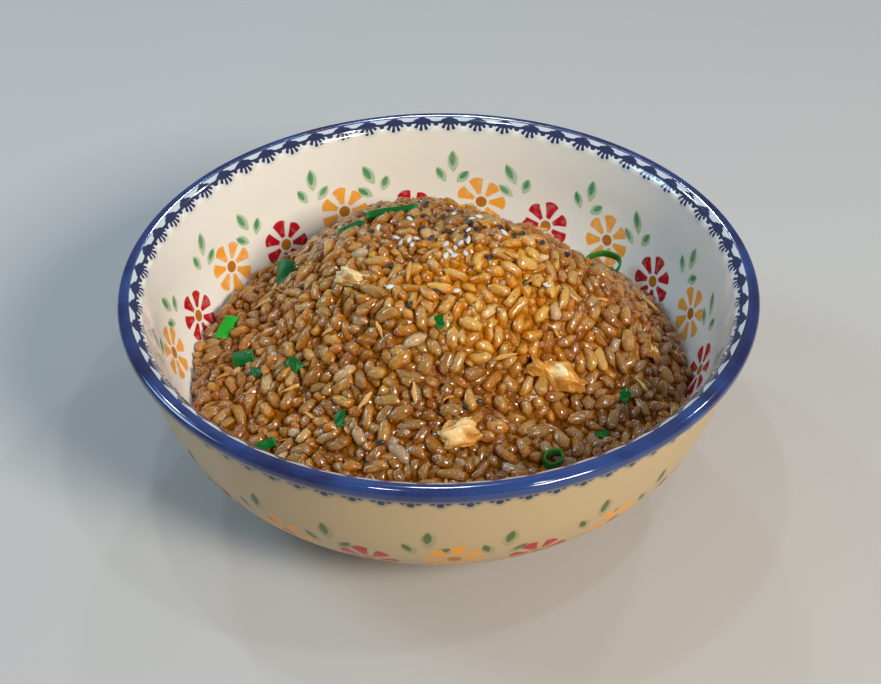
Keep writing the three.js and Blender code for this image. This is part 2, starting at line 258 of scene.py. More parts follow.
def use_group(tree, group, **terms):
    """Places a group in a tree and gives its outputs as terms."""
    node = tree.nodes.new("ShaderNodeGroup")
    node.node_tree = group
    give(node, **terms)
    return [Term(tree, socket) for socket in node.outputs]


def noise_term(place, scale, detail):
    node = place.tree.nodes.new("ShaderNodeTexNoise")
    settle(node, Scale=scale, Detail=detail)
    give(node, Vector=place)
    return Term(place.tree, node.outputs["Fac"])


def mixed(share, first, second, blend="MIX"):
    """Mixes or multiplies two colours, each a term or a linear RGB triple."""
    node = share.tree.nodes.new("ShaderNodeMix")
    node.data_type = "RGBA"
    node.blend_type = blend
    give(node, Factor=share)
    for slot, colour in ((node.inputs[6], first), (node.inputs[7], second)):
        if isinstance(colour, Term):
            share.tree.links.new(colour.socket, slot)
        else:
            slot.default_value = (*colour, 1.0)
    return Term(share.tree, node.outputs[2])


def new_material(name):
    """An empty material with a Principled shader; gives the material, its tree and the shader."""
    material = bpy.data.materials.new(name)
    material.use_nodes = True
    tree = material.node_tree
    tree.nodes.clear()
    shader = tree.nodes.new("ShaderNodeBsdfPrincipled")
    output = tree.nodes.new("ShaderNodeOutputMaterial")
    tree.links.new(shader.outputs["BSDF"], output.inputs["Surface"])
    return material, tree, shader


def object_place(tree):
    return Term(tree, tree.nodes.new("ShaderNodeTexCoord").outputs["Object"])


def attribute_term(tree, name):
    node = tree.nodes.new("ShaderNodeAttribute")
    node.attribute_name = name
    return Term(tree, node.outputs["Fac"])


# Bowl profile

def smooth_run(points, steps):
    """Catmull-Rom run through the points, ends doubled."""
    p = np.array([points[0], *points, points[-1]], float)
    run = []
    for i in range(1, len(p) - 2):
        for t in np.arange(steps) / steps:
            a = 2 * p[i]
            b = p[i + 1] - p[i - 1]
            c = 2 * p[i - 1] - 5 * p[i] + 4 * p[i + 1] - p[i + 2]
            d = -p[i - 1] + 3 * p[i] - 3 * p[i + 1] + p[i + 2]
            run.append(0.5 * (a + b * t + c * t * t + d * t ** 3))
    run.append(p[-1])
    return run


def bend(start, turn, end, steps):
    """Points of a quadratic curve after its start, up to and with its end."""
    ts = np.arange(1, steps + 1) / steps
    a, b, c = (np.array(q, float) for q in (start, turn, end))
    return [a * (1 - t) ** 2 + b * 2 * t * (1 - t) + c * t * t for t in ts]


def bowl_profile():
    """Points from the underside's middle, round the foot, wall, lip and inside, to the floor's middle."""
    outer_foot, inner_foot = WALL_OUTER[-1], WALL_INNER[0]
    bulge = (RIM_RADIUS, LIP_BULGE_HEIGHT)
    crown = (LIP_CROWN_RADIUS, BOWL_HEIGHT)
    under = (RIM_RADIUS, outer_foot[1] + 0.4 * (bulge[1] - outer_foot[1]))
    lean = ((crown[0] + inner_foot[0]) / 2, BOWL_HEIGHT)
    profile = [(0, FOOT_RECESS), (FOOT_INNER * 0.5, FOOT_RECESS), (FOOT_INNER - 2.2, FOOT_RECESS)]
    profile += bend(profile[-1], (FOOT_INNER - 0.8, FOOT_RECESS), (FOOT_INNER - 0.3, FOOT_RECESS - 1.6), 4)
    profile += bend((FOOT_INNER + 0.2, 1.2), (FOOT_INNER + 0.4, 0), (FOOT_INNER + 1.6, 0), 4)
    profile += bend((FOOT_OUTER - 1.8, 0), (FOOT_OUTER - 0.3, 0), (FOOT_OUTER, 1.4), 4)
    profile += bend(profile[-1], (FOOT_OUTER + 0.8, 6.5), WALL_OUTER[0], 5)
    profile += smooth_run(WALL_OUTER, 6)[1:]
    profile += bend(outer_foot, under, bulge, 7)
    profile += bend(bulge, (RIM_RADIUS, BOWL_HEIGHT), crown, 7)
    profile += bend(crown, lean, inner_foot, 9)
    profile += smooth_run(WALL_INNER, 5)[1:]
    profile += bend(WALL_INNER[-1], (20, FLOOR_TOP), (0, FLOOR_TOP), 6)
    return np.array([tuple(p) for p in profile], float)


BOWL_PROFILE = bowl_profile()
PROFILE_RUN = np.concatenate([[0], np.cumsum(np.hypot(*np.diff(BOWL_PROFILE, axis=0).T))])
CROWN_INDEX = int(BOWL_PROFILE[:, 1].argmax())
FOOT_TOP_INDEX = int(np.flatnonzero((BOWL_PROFILE == WALL_OUTER[0]).all(1))[0])


def run_at(height, inside):
    """Length along the profile, in millimetres, at a height on the inner or the outer wall."""
    part = slice(CROWN_INDEX, None) if inside else slice(FOOT_TOP_INDEX, CROWN_INDEX + 1)
    heights, runs = BOWL_PROFILE[part, 1], PROFILE_RUN[part]
    if inside:
        heights, runs = heights[::-1], runs[::-1]
    return float(np.interp(height, heights, runs))


# Meshes

def link(obj):
    bpy.context.scene.collection.objects.link(obj)
    return obj


def shade_smooth(mesh):
    mesh.polygons.foreach_set("use_smooth", [True] * len(mesh.polygons))


def face_outward(mesh):
    work = bmesh.new()
    work.from_mesh(mesh)
    bmesh.ops.recalc_face_normals(work, faces=work.faces)
    work.to_mesh(mesh)
    work.free()


def mark(mesh, label, values):
    """Gives every point a number, which a material reads by its label."""
    layer = mesh.attributes.new(label, "FLOAT", "POINT")
    layer.data.foreach_set("value", np.asarray(values, float))


def coordinates(mesh):
    """Every point of a mesh, in millimetres."""
    flat = np.empty(len(mesh.vertices) * 3)
    mesh.vertices.foreach_get("co", flat)
    return flat.reshape(-1, 3) / MM


def shape_object(name, vertices, faces, material=None):
    """A smooth mesh object from points in metres, not yet in the scene."""
    mesh = bpy.data.meshes.new(name)
    mesh.from_pydata([tuple(v) for v in vertices], [], faces)
    if material:
        mesh.materials.append(material)
    shade_smooth(mesh)
    return bpy.data.objects.new(name, mesh)


def plain_mesh(obj):
    """The mesh that an object's modifiers make of it."""
    bpy.context.view_layer.update()
    seen = obj.evaluated_get(bpy.context.evaluated_depsgraph_get())
    mesh = bpy.data.meshes.new_from_object(seen)
    shade_smooth(mesh)
    return mesh


def circle(radius, height, angles):
    """Points round the bowl's axis, from millimetres."""
    return [(radius * math.cos(a) * MM, radius * math.sin(a) * MM, height * MM) for a in angles]


def lathe_faces(rows, sides):
    """Faces of a turned solid whose points are a tip, rows of sides points, and another tip."""
    faces = []
    last = 1 + rows * sides
    for k in range(sides):
        after = (k + 1) % sides
        faces.append((0, 1 + after, 1 + k))
        for a in range(1, last - sides, sides):
            faces.append((a + k, a + after, a + sides + after, a + sides + k))
        faces.append((last - sides + k, last - sides + after, last))
    return faces


def add_piece(obj, slot, *replaced):
    """Rides a piece on the body, in place of the nodes that it replaces; the slot is not used."""
    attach(obj, BODY)
    if replaced:
        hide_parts(*replaced)
    return obj


# Stamped pattern under the glaze

BAND_INNER_HEIGHT = 71.78
BAND_OUTER_HEIGHT = 66.2
# How much wider the band is on the inside of the front, in millimetres
BAND_FRONT_EXTRA = 0.8
LACE_COUNT = 60
LACE_START_DEGREES = 219.18
LACE_RADIUS = 96.0
INSIDE_RING_HEIGHT = 41.8
INSIDE_RING_RADIUS = 84.5
INSIDE_SPACING_DEGREES = 34.0
INSIDE_LAST_DEGREES = 11.3
INSIDE_SEEN_COUNT = 6
INSIDE_HIDDEN_COUNT = 5
OUTSIDE_RING_HEIGHT = 34.5
OUTSIDE_RING_RADIUS = 88.0
OUTSIDE_COUNT = 11
OUTSIDE_START_DEGREES = -87.5
DOT_COUNT = 76
DOT_RADIUS = 97.4
PETALS = 7
# Each leaf's middle, length and width in millimetres, and its turn in degrees
SPRIG_LEAVES = ((0.0, 3.6, 8.8, 4.0, 92), (-4.1, -1.6, 6.8, 3.5, 118), (3.6, -2.2, 6.4, 3.7, 48))
# Each sprig's middle beside and above its orange flower, and its lean in radians
INSIDE_SPRIGS = ((11.6, 8.6, 0.35), (-10.4, 11.4, -0.08))
OUTSIDE_SPRIGS = ((14.4, 6.6, -0.12), (-7.6, 8.8, -0.05))
OUTSIDE_LEAF_SIZE = 1.2
# The run along the profile, in millimetres, that one unit of the UV map stands for
RUN_UNIT = 100.0
BOWL_SIDES = 240

CREAM = (0.85, 0.83, 0.78)
CREAM_WARM = (0.76, 0.70, 0.56)
# The outside's tan: partly its own colour, partly painted shade of the outside wall
OUTSIDE_TAN_AND_SHADE = (0.55, 0.40, 0.215)
NAVY = (0.004, 0.009, 0.070)
BAND_BLUE = (0.013, 0.047, 0.200)
HALO_BLUE = (0.36, 0.46, 0.56)
PETAL_RED = (0.50, 0.006, 0.016)
PETAL_ORANGE = (0.90, 0.36, 0.024)
CENTRE_BROWN = (0.47, 0.16, 0.012)
LEAF_GREEN = (0.022, 0.26, 0.085)
DOT_HAZE = (0.17, 0.24, 0.22)
LEAF_HALO = (0.32, 0.50, 0.27)
LEAF_DARK = (0.004, 0.085, 0.010)
LEAF_OLIVE = (0.21, 0.24, 0.050)


def lace_group():
    """A fan with five fingers below a scalloped cord, and the pale gap between cord and band."""
    (across, inset, tilt), leave = new_group("Lace fan", "Across Inset Tilt", "Ink Pale")
    body = ((across / 3.3).squared() + ((inset - 1.75) / 1.45).squared()).fall(0.85, 1.1)
    neck = (abs(across).fall(0.9, 1.5)) * inset.fall(1.0, 1.5)
    down = inset - 0.7
    reach = across.reach(down)
    angle = across.math("ARCTAN2", down) - tilt
    spread = math.radians(29)
    slot = angle / spread
    nearest = slot.math("ROUND").larger(-2.0).smaller(2.0)
    off = (slot - nearest) * spread
    side = abs(off.math("SINE") * reach)
    ahead = off.math("COSINE") * reach
    tip = nearest.squared() * -0.16 + 4.75
    round_end = (ahead - (tip - 0.55)).larger(0.0)
    wide = (ahead * 0.13 + 0.12).smaller(0.68)
    finger = ((side / wide).squared() + (round_end / 0.55).squared()).fall(0.8, 1.15)
    finger = finger * ahead.rise(0.4, 1.0)
    edge = abs(across)
    cord_line = (edge - 5.0).squared() * -0.055 + 2.25
    cord = abs(inset - cord_line).fall(0.38, 0.62) * edge.rise(2.2, 2.8)
    bead = ((edge - 5.0).squared() + ((inset - 2.7) / 0.95).squared()).fall(0.8, 1.15)
    pale = inset.fall(2.2, 3.4) * 0.75
    halo = reach.fall(4.4, 6.2) * 0.55
    return give(leave, Ink=largest([body, neck, finger, cord, bead]), Pale=pale.larger(halo))


def flower_group():
    """Seven wedge petals round a centre dot."""
    (across, along, turn), leave = new_group("Stamped flower", "Across Along Turn", "Petals Centre")
    reach = across.reach(along)
    angle = along.math("ARCTAN2", across) + turn
    slot = angle * (PETALS / (2 * math.pi))
    number = slot.math("FLOOR")
    from_middle = abs(slot.math("FRACT") - 0.5)
    length = number.chance(3.7) + 8.3
    corner = from_middle.squared() * 6.0
    outer = (reach + corner - length).fall(-0.15, 0.3)
    inner = reach.rise(2.6, 3.1)
    share = (reach * 0.012 + 0.24).smaller(0.36)
    edge = (from_middle - share) * reach
    petals = edge.fall(-0.2, 0.18) * outer * inner
    return give(leave, Petals=petals, Centre=reach.fall(1.85, 2.25))


def leaf_terms(across, along, x, y, length, width, degrees):
    """Core and halo masks of one pointed leaf."""
    u, v = (across - x).turned(along - y, math.radians(degrees))
    taper = (u / (length / 2)).squared().inverse()
    halo = (abs(v) / (taper.larger(0.02) * (width / 2))).fall(0.75, 1.15) * taper.rise(0.0, 0.12)
    cu, cv = u - length * 0.1, v - width * 0.06
    core_taper = (cu / (length * 0.33)).squared().inverse()
    core = (abs(cv) / (core_taper.larger(0.02) * (width * 0.3))).fall(0.5, 1.2)
    return core * core_taper.rise(0.0, 0.3), halo


def sprig_group():
    """A standing leaf with a leaf to either side."""
    (across, along, lean), leave = new_group("Leaf sprig", "Across Along Lean", "Core Halo")
    c, s = lean.math("COSINE"), lean.math("SINE")
    x = across * c + along * s
    y = along * c - across * s
    cores, halos = zip(*[leaf_terms(x, y, *leaf) for leaf in SPRIG_LEAVES])
    return give(leave, Core=largest(cores), Halo=largest(halos))


def dots_group():
    """One scallop of the outer edging: a large dot with a small one to either side."""
    (across, below), leave = new_group("Edge dots", "Across Below", "Ink Halo")
    big = across.reach(below - 1.3)
    small = (abs(across) - 2.1).reach(below - 0.55)
    ink = big.fall(0.95, 1.25).larger(small.fall(0.6, 0.9))
    halo = big.fall(1.3, 2.9).larger(small.fall(0.9, 2.0))
    return give(leave, Ink=ink, Halo=halo * 0.7)


def ring_group(name, pitch, flower, sprig, sprig_places, leaf_size=1.0):
    """Orange and red flowers in turn; Number counts the orange ones, and Up runs up the wall in mm."""
    (number, up), leave = new_group(name, "Number Up", "Orange Red Centre Core Halo")
    tree = leave.id_data
    cell = number.math("FLOOR")
    across = (number.math("FRACT") - 0.5) * pitch
    above = up - (cell.chance(1.3) - 0.5) * 1.4
    orange, orange_centre = use_group(tree, flower, Across=across, Along=above, Turn=cell.chance(9.1) * 0.9)
    shifted = number + 0.5
    red_across = (shifted.math("FRACT") - 0.5) * pitch
    red_turn = shifted.math("FLOOR").chance(5.3) * 0.9
    red, red_centre = use_group(tree, flower, Across=red_across, Along=up + 4.0, Turn=red_turn)
    marks = []
    for x, y, lean in sprig_places:
        marks.append(use_group(tree, sprig, Across=(across - x) * (1 / leaf_size),
                               Along=(above - y) * (1 / leaf_size),
                               Lean=(cell.chance(x) - 0.5) * 0.25 + lean))
    cores, halos = zip(*marks)
    return give(leave, Orange=orange, Red=red, Centre=orange_centre.larger(red_centre),
                Core=largest(cores), Halo=largest(halos))


def cell_number(turns, count, start_degrees):
    """Counts repeats round the bowl from a start angle; a whole number falls between two motifs."""
    return turns * count + (0.5 - start_degrees / 360 * count)


def inside_number(turns):
    """As cell_number, with the flowers closer together on the side that the front wall hides."""
    first = INSIDE_LAST_DEGREES - INSIDE_SPACING_DEGREES / 2
    seen = INSIDE_SEEN_COUNT * INSIDE_SPACING_DEGREES
    degrees = (turns * 360 - first).math("MODULO", 360.0)
    degrees = (degrees + 360.0).math("MODULO", 360.0)
    near = degrees / INSIDE_SPACING_DEGREES
    far = (degrees - seen) * (INSIDE_HIDDEN_COUNT / (360 - seen)) + INSIDE_SEEN_COUNT
    is_far = degrees.math("GREATER_THAN", seen)
    return near * is_far.inverse() + far * is_far


def glazed_material():
    """Cream stoneware with the stamped pattern, under a clear glossy glaze."""
    material, tree, shader = new_material("stamped_glaze")
    uv = tree.nodes.new("ShaderNodeUVMap")
    uv.uv_map = "glaze"
    split = tree.nodes.new("ShaderNodeSeparateXYZ")
    tree.links.new(uv.outputs["UV"], split.inputs["Vector"])
    turns = Term(tree, split.outputs["X"])
    run = Term(tree, split.outputs["Y"]) * RUN_UNIT
    place = object_place(tree)

    crown_run = float(PROFILE_RUN[CROWN_INDEX])
    inside = run.rise(crown_run - 0.1, crown_run + 0.1)
    outside = inside.inverse()
    waver = (noise_term(place, 260.0, 1.0) - 0.5) * 0.25
    front_share = ((turns + 0.25) * (2 * math.pi)).math("COSINE").rise(0.1, 0.6)
    inset = run - run_at(BAND_INNER_HEIGHT, True) + waver - front_share * BAND_FRONT_EXTRA
    below = (run * -1) + run_at(BAND_OUTER_HEIGHT, False) + waver
    band = inset.fall(-0.12, 0.12) * below.fall(-0.12, 0.12)

    lace_number = cell_number(turns, LACE_COUNT, LACE_START_DEGREES)
    lace_cell = lace_number.math("FLOOR")
    lace_pitch = 2 * math.pi * LACE_RADIUS / LACE_COUNT
    lace_across = (lace_number.math("FRACT") - 0.5) * lace_pitch + (lace_cell.chance(2.2) - 0.5) * 0.7
    lace_tilt = (lace_cell.chance(6.6) - 0.5) * 0.22 + 0.14
    lace = use_group(tree, lace_group(), Across=lace_across, Inset=inset, Tilt=lace_tilt)
    on_lace = inside * inset.rise(-0.1, 0.1)
    ink, pale = [term * on_lace for term in lace]

    dot_number = cell_number(turns, DOT_COUNT, 0.0)
    dot_across = (dot_number.math("FRACT") - 0.5) * (2 * math.pi * DOT_RADIUS / DOT_COUNT)
    dots = use_group(tree, dots_group(), Across=dot_across, Below=below)
    on_outside = outside * below.rise(-0.05, 0.1)
    dot_ink, dot_halo = [term * on_outside for term in dots]

    flower, sprig = flower_group(), sprig_group()
    inside_pitch = math.radians(INSIDE_SPACING_DEGREES) * INSIDE_RING_RADIUS
    outside_pitch = 2 * math.pi * OUTSIDE_RING_RADIUS / OUTSIDE_COUNT
    inside_ring = ring_group("Flowers inside", -inside_pitch, flower, sprig, INSIDE_SPRIGS)
    outside_ring = ring_group("Flowers outside", outside_pitch, flower, sprig, OUTSIDE_SPRIGS,
                              OUTSIDE_LEAF_SIZE)
    up_inside = (run * -1) + run_at(INSIDE_RING_HEIGHT, True)
    up_outside = run - run_at(OUTSIDE_RING_HEIGHT, False)
    marks_in = use_group(tree, inside_ring, Number=inside_number(turns), Up=up_inside)
    marks_out = use_group(tree, outside_ring, Up=up_outside,
                          Number=cell_number(turns, OUTSIDE_COUNT, OUTSIDE_START_DEGREES))
    orange, red, centre, core, halo = [a * inside + b * outside for a, b in zip(marks_in, marks_out)]

    cloud = noise_term(place, 9.0, 3.0)
    worn = noise_term(place, 420.0, 2.0).rise(0.30, 0.46) * 0.5 + 0.5
    wash = noise_term(place, 130.0, 2.0)
    colour = mixed(cloud.rise(0.35, 0.75) * 0.35, CREAM, CREAM_WARM)
    # The outside tan: partly its own colour, partly painted shade
    colour = mixed(outside, colour, OUTSIDE_TAN_AND_SHADE)
    colour = mixed(pale * 0.8, colour, HALO_BLUE)
    colour = mixed(dot_halo * 0.8, colour, DOT_HAZE)
    halo_colour = mixed(inside, LEAF_OLIVE, LEAF_HALO)
    colour = mixed(halo * (wash * 0.5 + 0.5) * (inside * 0.5 + 0.5), colour, halo_colour)
    colour = mixed(core * (wash * 0.6 + 0.5), colour, mixed(inside, LEAF_DARK, LEAF_GREEN))
    colour = mixed(orange * (wash * 0.2 + 0.86) * worn.larger(0.85), colour, PETAL_ORANGE)
    colour = mixed(red * worn.larger(0.9), colour, PETAL_RED)
    colour = mixed(centre, colour, CENTRE_BROWN)
    colour = mixed(ink.larger(dot_ink) * 0.96, colour, NAVY)
    streak = noise_term(place, 60.0, 3.0).rise(0.3, 0.7)
    colour = mixed(band * 0.98, colour, mixed(streak, BAND_BLUE, NAVY))

    pits = noise_term(place, 900.0, 1.0).rise(0.72, 0.8)
    relief = noise_term(place, 34.0, 2.0) - pits * 0.05
    rough = noise_term(place, 80.0, 2.0) * 0.08 + 0.06 + outside * band.inverse() * 0.25
    give(shader, Base_Color=colour, Roughness=rough, Normal=relief.bump(0.35, 0.0006),
         Coat_Weight=inside.larger(band) * 0.5 + 0.1)
    settle(shader, IOR=1.52, Specular_IOR_Level=0.3, Coat_Roughness=0.03)
    return material


def make_bowl():
    """The turned bowl, its UV map holding turns round the axis and the run along the profile."""
    rows = len(BOWL_PROFILE) - 2
    angles = np.arange(BOWL_SIDES) * 2 * math.pi / BOWL_SIDES
    vertices = [(0, 0, BOWL_PROFILE[0, 1] * MM)]
    for radius, height in BOWL_PROFILE[1:-1]:
        vertices += circle(radius, height, angles)
    vertices.append((0, 0, BOWL_PROFILE[-1, 1] * MM))
    runs = PROFILE_RUN / RUN_UNIT
    maps = []
    for k in range(BOWL_SIDES):
        u0, u1, half = k / BOWL_SIDES, (k + 1) / BOWL_SIDES, (k + 0.5) / BOWL_SIDES
        maps.append(((half, runs[0]), (u1, runs[1]), (u0, runs[1])))
        for row in range(1, rows):
            maps.append(((u0, runs[row]), (u1, runs[row]), (u1, runs[row + 1]), (u0, runs[row + 1])))
        maps.append(((u0, runs[rows]), (u1, runs[rows]), (half, runs[rows + 1])))
    bowl = shape_object("stamped_bowl", vertices, lathe_faces(rows, BOWL_SIDES), glazed_material())
    layer = bowl.data.uv_layers.new(name="glaze")
    layer.data.foreach_set("uv", [value for face in maps for corner in face for value in corner])
    return add_piece(link(bowl), "glazed_bowl", "bowl")


# Rice grains

RICE_SEED = 4127
GRAIN_SIDES = 8
# Places along a shape and its thickness there, both as shares
GRAIN_STATIONS = ((-0.5, 0), (-0.45, 0.54), (-0.28, 0.88), (0.0, 1.0), (0.28, 0.92), (0.45, 0.60), (0.5, 0))
# Each layer's depth under the heap's surface and its grid's pitch
LAYERS = ((-5.6, 4.4), (-3.5, 4.4), (-1.4, 4.6))
GRID_SHAKE = 0.36
HEX_ROW = 0.866
EXTRA_SPREAD = 1.2
GRAIN_BALL = 1.72
GRAIN_BALL_OFFSET = 2.4
PACKING_ROUNDS = 14
PUSH_SHARE = 0.36
MOST_SINK = 0.6
MOST_LIFT = 2
# What grains keep clear: the heap's edge, the bowl's wall, and round, under and over a topping
EDGE_GAP = 1.6
WALL_GAP = 0.35
TOPPING_MARGIN = 0.7
TOPPING_SIDE = 1.2
TOPPING_UNDER = GRAIN_BALL + 0.4
TOPPING_OVER = 7
CORE_DEPTH = 5.6
CORE_EDGE_GAP = 1.4
CORE_RINGS = 110
CORE_SIDES = 300
CORE_LOWER_HEIGHTS = (24.0, 14.0, 9.5)
CORE_FOOT_HEIGHT = 8.6
CORE_WALL_GAP = 1.2
CORE_TONE = 0.2
CORE_BELLY = 0.4
# Highest places of the two ends and the middle of a grain, against the heap's surface
TOP_LEVELS = (-0.8, -1.5, -0.8)
# Sauce and crumbs between the grains: their grid, smoothing and depth under the grains' smoothed tops
FILM_STEP = 0.8
FILM_SMOOTHING = 1.8
FILM_KERNEL_REACH = 8
FILM_DEPTH = 1.5
# How much deeper a steep side counts, for the painted shade on the grains' sides
SIDE_DEPTH = 1.0
GAP_DEPTH = 2.5
DEEPEST_HIT = 6
RAY_START = 200.0
PALE_ROLL = 5.9
MILKY = (0.62, 0.37, 0.085)
GOLD = (0.60, 0.255, 0.008)
# Amber: partly the sauce's colour, partly painted shade on the grains' sides and ends and deep down
AMBER = (0.51, 0.165, 0.001)
# Painted shade: the colour of the gaps between the grains and of their deepest places
CREVICE_SHADE = (0.25, 0.072, 0.001)
# Painted shade: how much darker the grains are away from the lamp's pool of light
SHADE_AWAY_FROM_LIGHT = (0.38, 0.33, 0.35)
# Painted highlight: the pale blue of glints of oil, painted as specks that are also metallic
PAINTED_OIL_GLINT = (0.56, 0.64, 0.78)
PALE = (0.82, 0.63, 0.38)
# Clumps of pale grains, each its middle and radius
PALE_SPOTS = ((-46.7, -48.5, 4.5), (-42.6, -39.9, 3.0), (-12.2, -50.8, 3.5), (36.0, -50.0, 3.5),
              (66.7, -29.2, 3.0))


def clump_height(x, y):
    """Slow unevenness of the heaped grains in millimetres."""
    first = np.sin(x * 0.31 + 1.7 * np.sin(y * 0.17)) * np.sin(y * 0.29 + 1.3 * np.sin(x * 0.21 + 2.0))
    second = np.sin(x * 0.62 + y * 0.35 + 0.6) * np.sin(y * 0.57 - x * 0.28)
    return 2.1 * first + 1.4 * second - 0.7


def grain_template(name, length, width, flatness, bow, notch, stations=GRAIN_STATIONS):
    """One grain or seed along X: eight sides, bowed, and nicked where the germ was."""
    vertices = []
    for t, r in stations:
        lift = -bow * (2 * t) ** 2
        if r == 0:
            vertices.append((t * length, 0, lift))
            continue
        for k in range(GRAIN_SIDES):
            angle = 2 * math.pi * k / GRAIN_SIDES
            nick = notch if t < -0.4 and 1 <= k <= 3 else 1.0
            vertices.append((t * length, math.cos(angle) * r * width / 2 * nick,
                             math.sin(angle) * r * width / 2 * flatness * nick + lift))
    faces = lathe_faces(len(stations) - 2, GRAIN_SIDES)
    grain = shape_object(name, [(x * MM, y * MM, z * MM) for x, y, z in vertices], faces)
    face_outward(grain.data)
    mark(grain.data, "belly", [1 - abs(x / length) * 2 for x, _, _ in vertices])
    return grain


def first_places(draw):
    """Grain middles in three layers on shaken hexagonal grids, with their axes near the heap's surface."""
    middles, axes = [], []
    for depth, pitch in LAYERS:
        reach = int(HEAP_RADIUS / pitch) + 2
        for j in range(-reach, reach + 1):
            for i in range(-reach, reach + 1):
                x = (i + 0.5 * (j % 2) + draw.uniform(-GRID_SHAKE, GRID_SHAKE)) * pitch
                y = (j * HEX_ROW + draw.uniform(-GRID_SHAKE, GRID_SHAKE)) * pitch
                if math.hypot(x, y) > HEAP_RADIUS - EDGE_GAP:
                    continue
                normal = heap_normal(np.array(x), np.array(y))
                # A steep slope has more surface above each square of plan, so it takes further grains
                for extra in range(2):
                    if extra and draw.uniform() > 1 / normal[2] - 1:
                        continue
                    top = float(heap_height(x, y) + clump_height(x, y))
                    middle = np.array([x, y, top]) + normal * depth
                    middle += extra * draw.normal(0, EXTRA_SPREAD, 3)
                    axis = draw.normal(0, 1, 3)
                    axis -= normal * (axis @ normal) * draw.uniform(0.15, 0.95)
                    middles.append(middle)
                    axes.append(axis / np.linalg.norm(axis))
    return np.array(middles), np.array(axes)


def keep_clear(balls, toppings):
    """Moves balls out of the toppings, to below them or out at their sides."""
    for place, turn, half_length, half_width in toppings:
        local = (balls - place) @ turn
        along, across, above = local.T
        inside = (np.abs(along) < half_length + TOPPING_MARGIN) & (above < TOPPING_OVER)
        inside &= (np.abs(across) < half_width + TOPPING_MARGIN) & (above > -TOPPING_UNDER)
        sinks = inside & (above < TOPPING_SIDE)
        out = inside & ~sinks
        local[sinks, 2] = -TOPPING_UNDER
        local[out, 1] = np.where(local[out, 1] < 0, -1, 1) * (half_width + TOPPING_SIDE)
        balls[inside] = local[inside] @ turn.T + place
    return balls


def packed_grains(draw, toppings):
    """Pushes overlapping grains apart. Each grain is three balls in a row; gives middles and axes."""
    middles, axes = first_places(draw)
    offsets = np.array([-GRAIN_BALL_OFFSET, 0.0, GRAIN_BALL_OFFSET])
    count = len(middles)
    owner = np.repeat(np.arange(count), 3)
    for _ in range(PACKING_ROUNDS):
        balls = (middles[:, None, :] + axes[:, None, :] * offsets[None, :, None]).reshape(-1, 3)
        tree = KDTree(len(balls))
        for index, ball in enumerate(balls):
            tree.insert(ball, index)
        tree.balance()
        first, second = [], []
        for index, ball in enumerate(balls):
            for _, other, _ in tree.find_range(ball, 2 * GRAIN_BALL):
                if other > index and owner[other] != owner[index]:
                    first.append(index)
                    second.append(other)
        push = np.zeros_like(balls)
        if first:
            first, second = np.array(first), np.array(second)
            gap = balls[first] - balls[second]
            far = np.linalg.norm(gap, axis=1, keepdims=True) + 1e-6
            share = gap / far * (2 * GRAIN_BALL - far) * PUSH_SHARE
            np.add.at(push, first, share)
            np.add.at(push, second, -share)
        balls = balls + push
        normal = heap_normal(balls[:, 0], balls[:, 1])
        level = heap_height(balls[:, 0], balls[:, 1]) + clump_height(balls[:, 0], balls[:, 1])
        over = (balls[:, 2] - level) * normal[:, 2]
        balls -= normal * np.clip(over - np.tile(TOP_LEVELS, count), 0, MOST_SINK)[:, None]
        balls += normal * np.clip(-CORE_DEPTH + GRAIN_BALL - over, 0, MOST_LIFT)[:, None]
        balls = keep_clear(balls, toppings)
        reach = np.hypot(balls[:, 0], balls[:, 1])
        limit = wall_radius(balls[:, 2]) - GRAIN_BALL - WALL_GAP
        scale = np.minimum(1, limit / np.maximum(reach, 1e-6))
        balls[:, 0] *= scale
        balls[:, 1] *= scale
        balls = balls.reshape(count, 3, 3)
        middles = balls.mean(1)
        axes = balls[:, 2] - balls[:, 0]
        axes /= np.linalg.norm(axes, axis=1, keepdims=True)
    return middles, axes


def scatter_tree():
    """Geometry Nodes: sets one shape on every point, by the points' own turn and size, as real mesh."""
    tree = bpy.data.node_groups.new("Heap of one shape", "GeometryNodeTree")
    for label, way, kind in (("Geometry", "INPUT", "Geometry"), ("Shape", "INPUT", "Object"),
                             ("Finish", "INPUT", "Material"), ("Geometry", "OUTPUT", "Geometry")):
        tree.interface.new_socket(label, in_out=way, socket_type="NodeSocket" + kind)
    entry = tree.nodes.new("NodeGroupInput")
    leave = tree.nodes.new("NodeGroupOutput")
    info = tree.nodes.new("GeometryNodeObjectInfo")
    place = tree.nodes.new("GeometryNodeInstanceOnPoints")
    spin = tree.nodes.new("FunctionNodeEulerToRotation")
    real = tree.nodes.new("GeometryNodeRealizeInstances")
    finish = tree.nodes.new("GeometryNodeSetMaterial")

    def point_value(label):
        node = tree.nodes.new("GeometryNodeInputNamedAttribute")
        node.data_type = "FLOAT_VECTOR"
        node.inputs["Name"].default_value = label
        return node.outputs["Attribute"]

    join = tree.links.new
    join(entry.outputs["Geometry"], place.inputs["Points"])
    join(entry.outputs["Shape"], info.inputs["Object"])
    join(info.outputs["Geometry"], place.inputs["Instance"])
    join(point_value("turn"), spin.inputs["Euler"])
    join(spin.outputs["Rotation"], place.inputs["Rotation"])
    join(point_value("size"), place.inputs["Scale"])
    join(place.outputs["Instances"], real.inputs["Geometry"])
    join(real.outputs["Geometry"], finish.inputs["Geometry"])
    join(entry.outputs["Finish"], finish.inputs["Material"])
    join(finish.outputs["Geometry"], leave.inputs["Geometry"])
    return tree


SCATTER = scatter_tree()


def socket_key(label):
    return next(item.identifier for item in SCATTER.interface.items_tree if item.name == label)


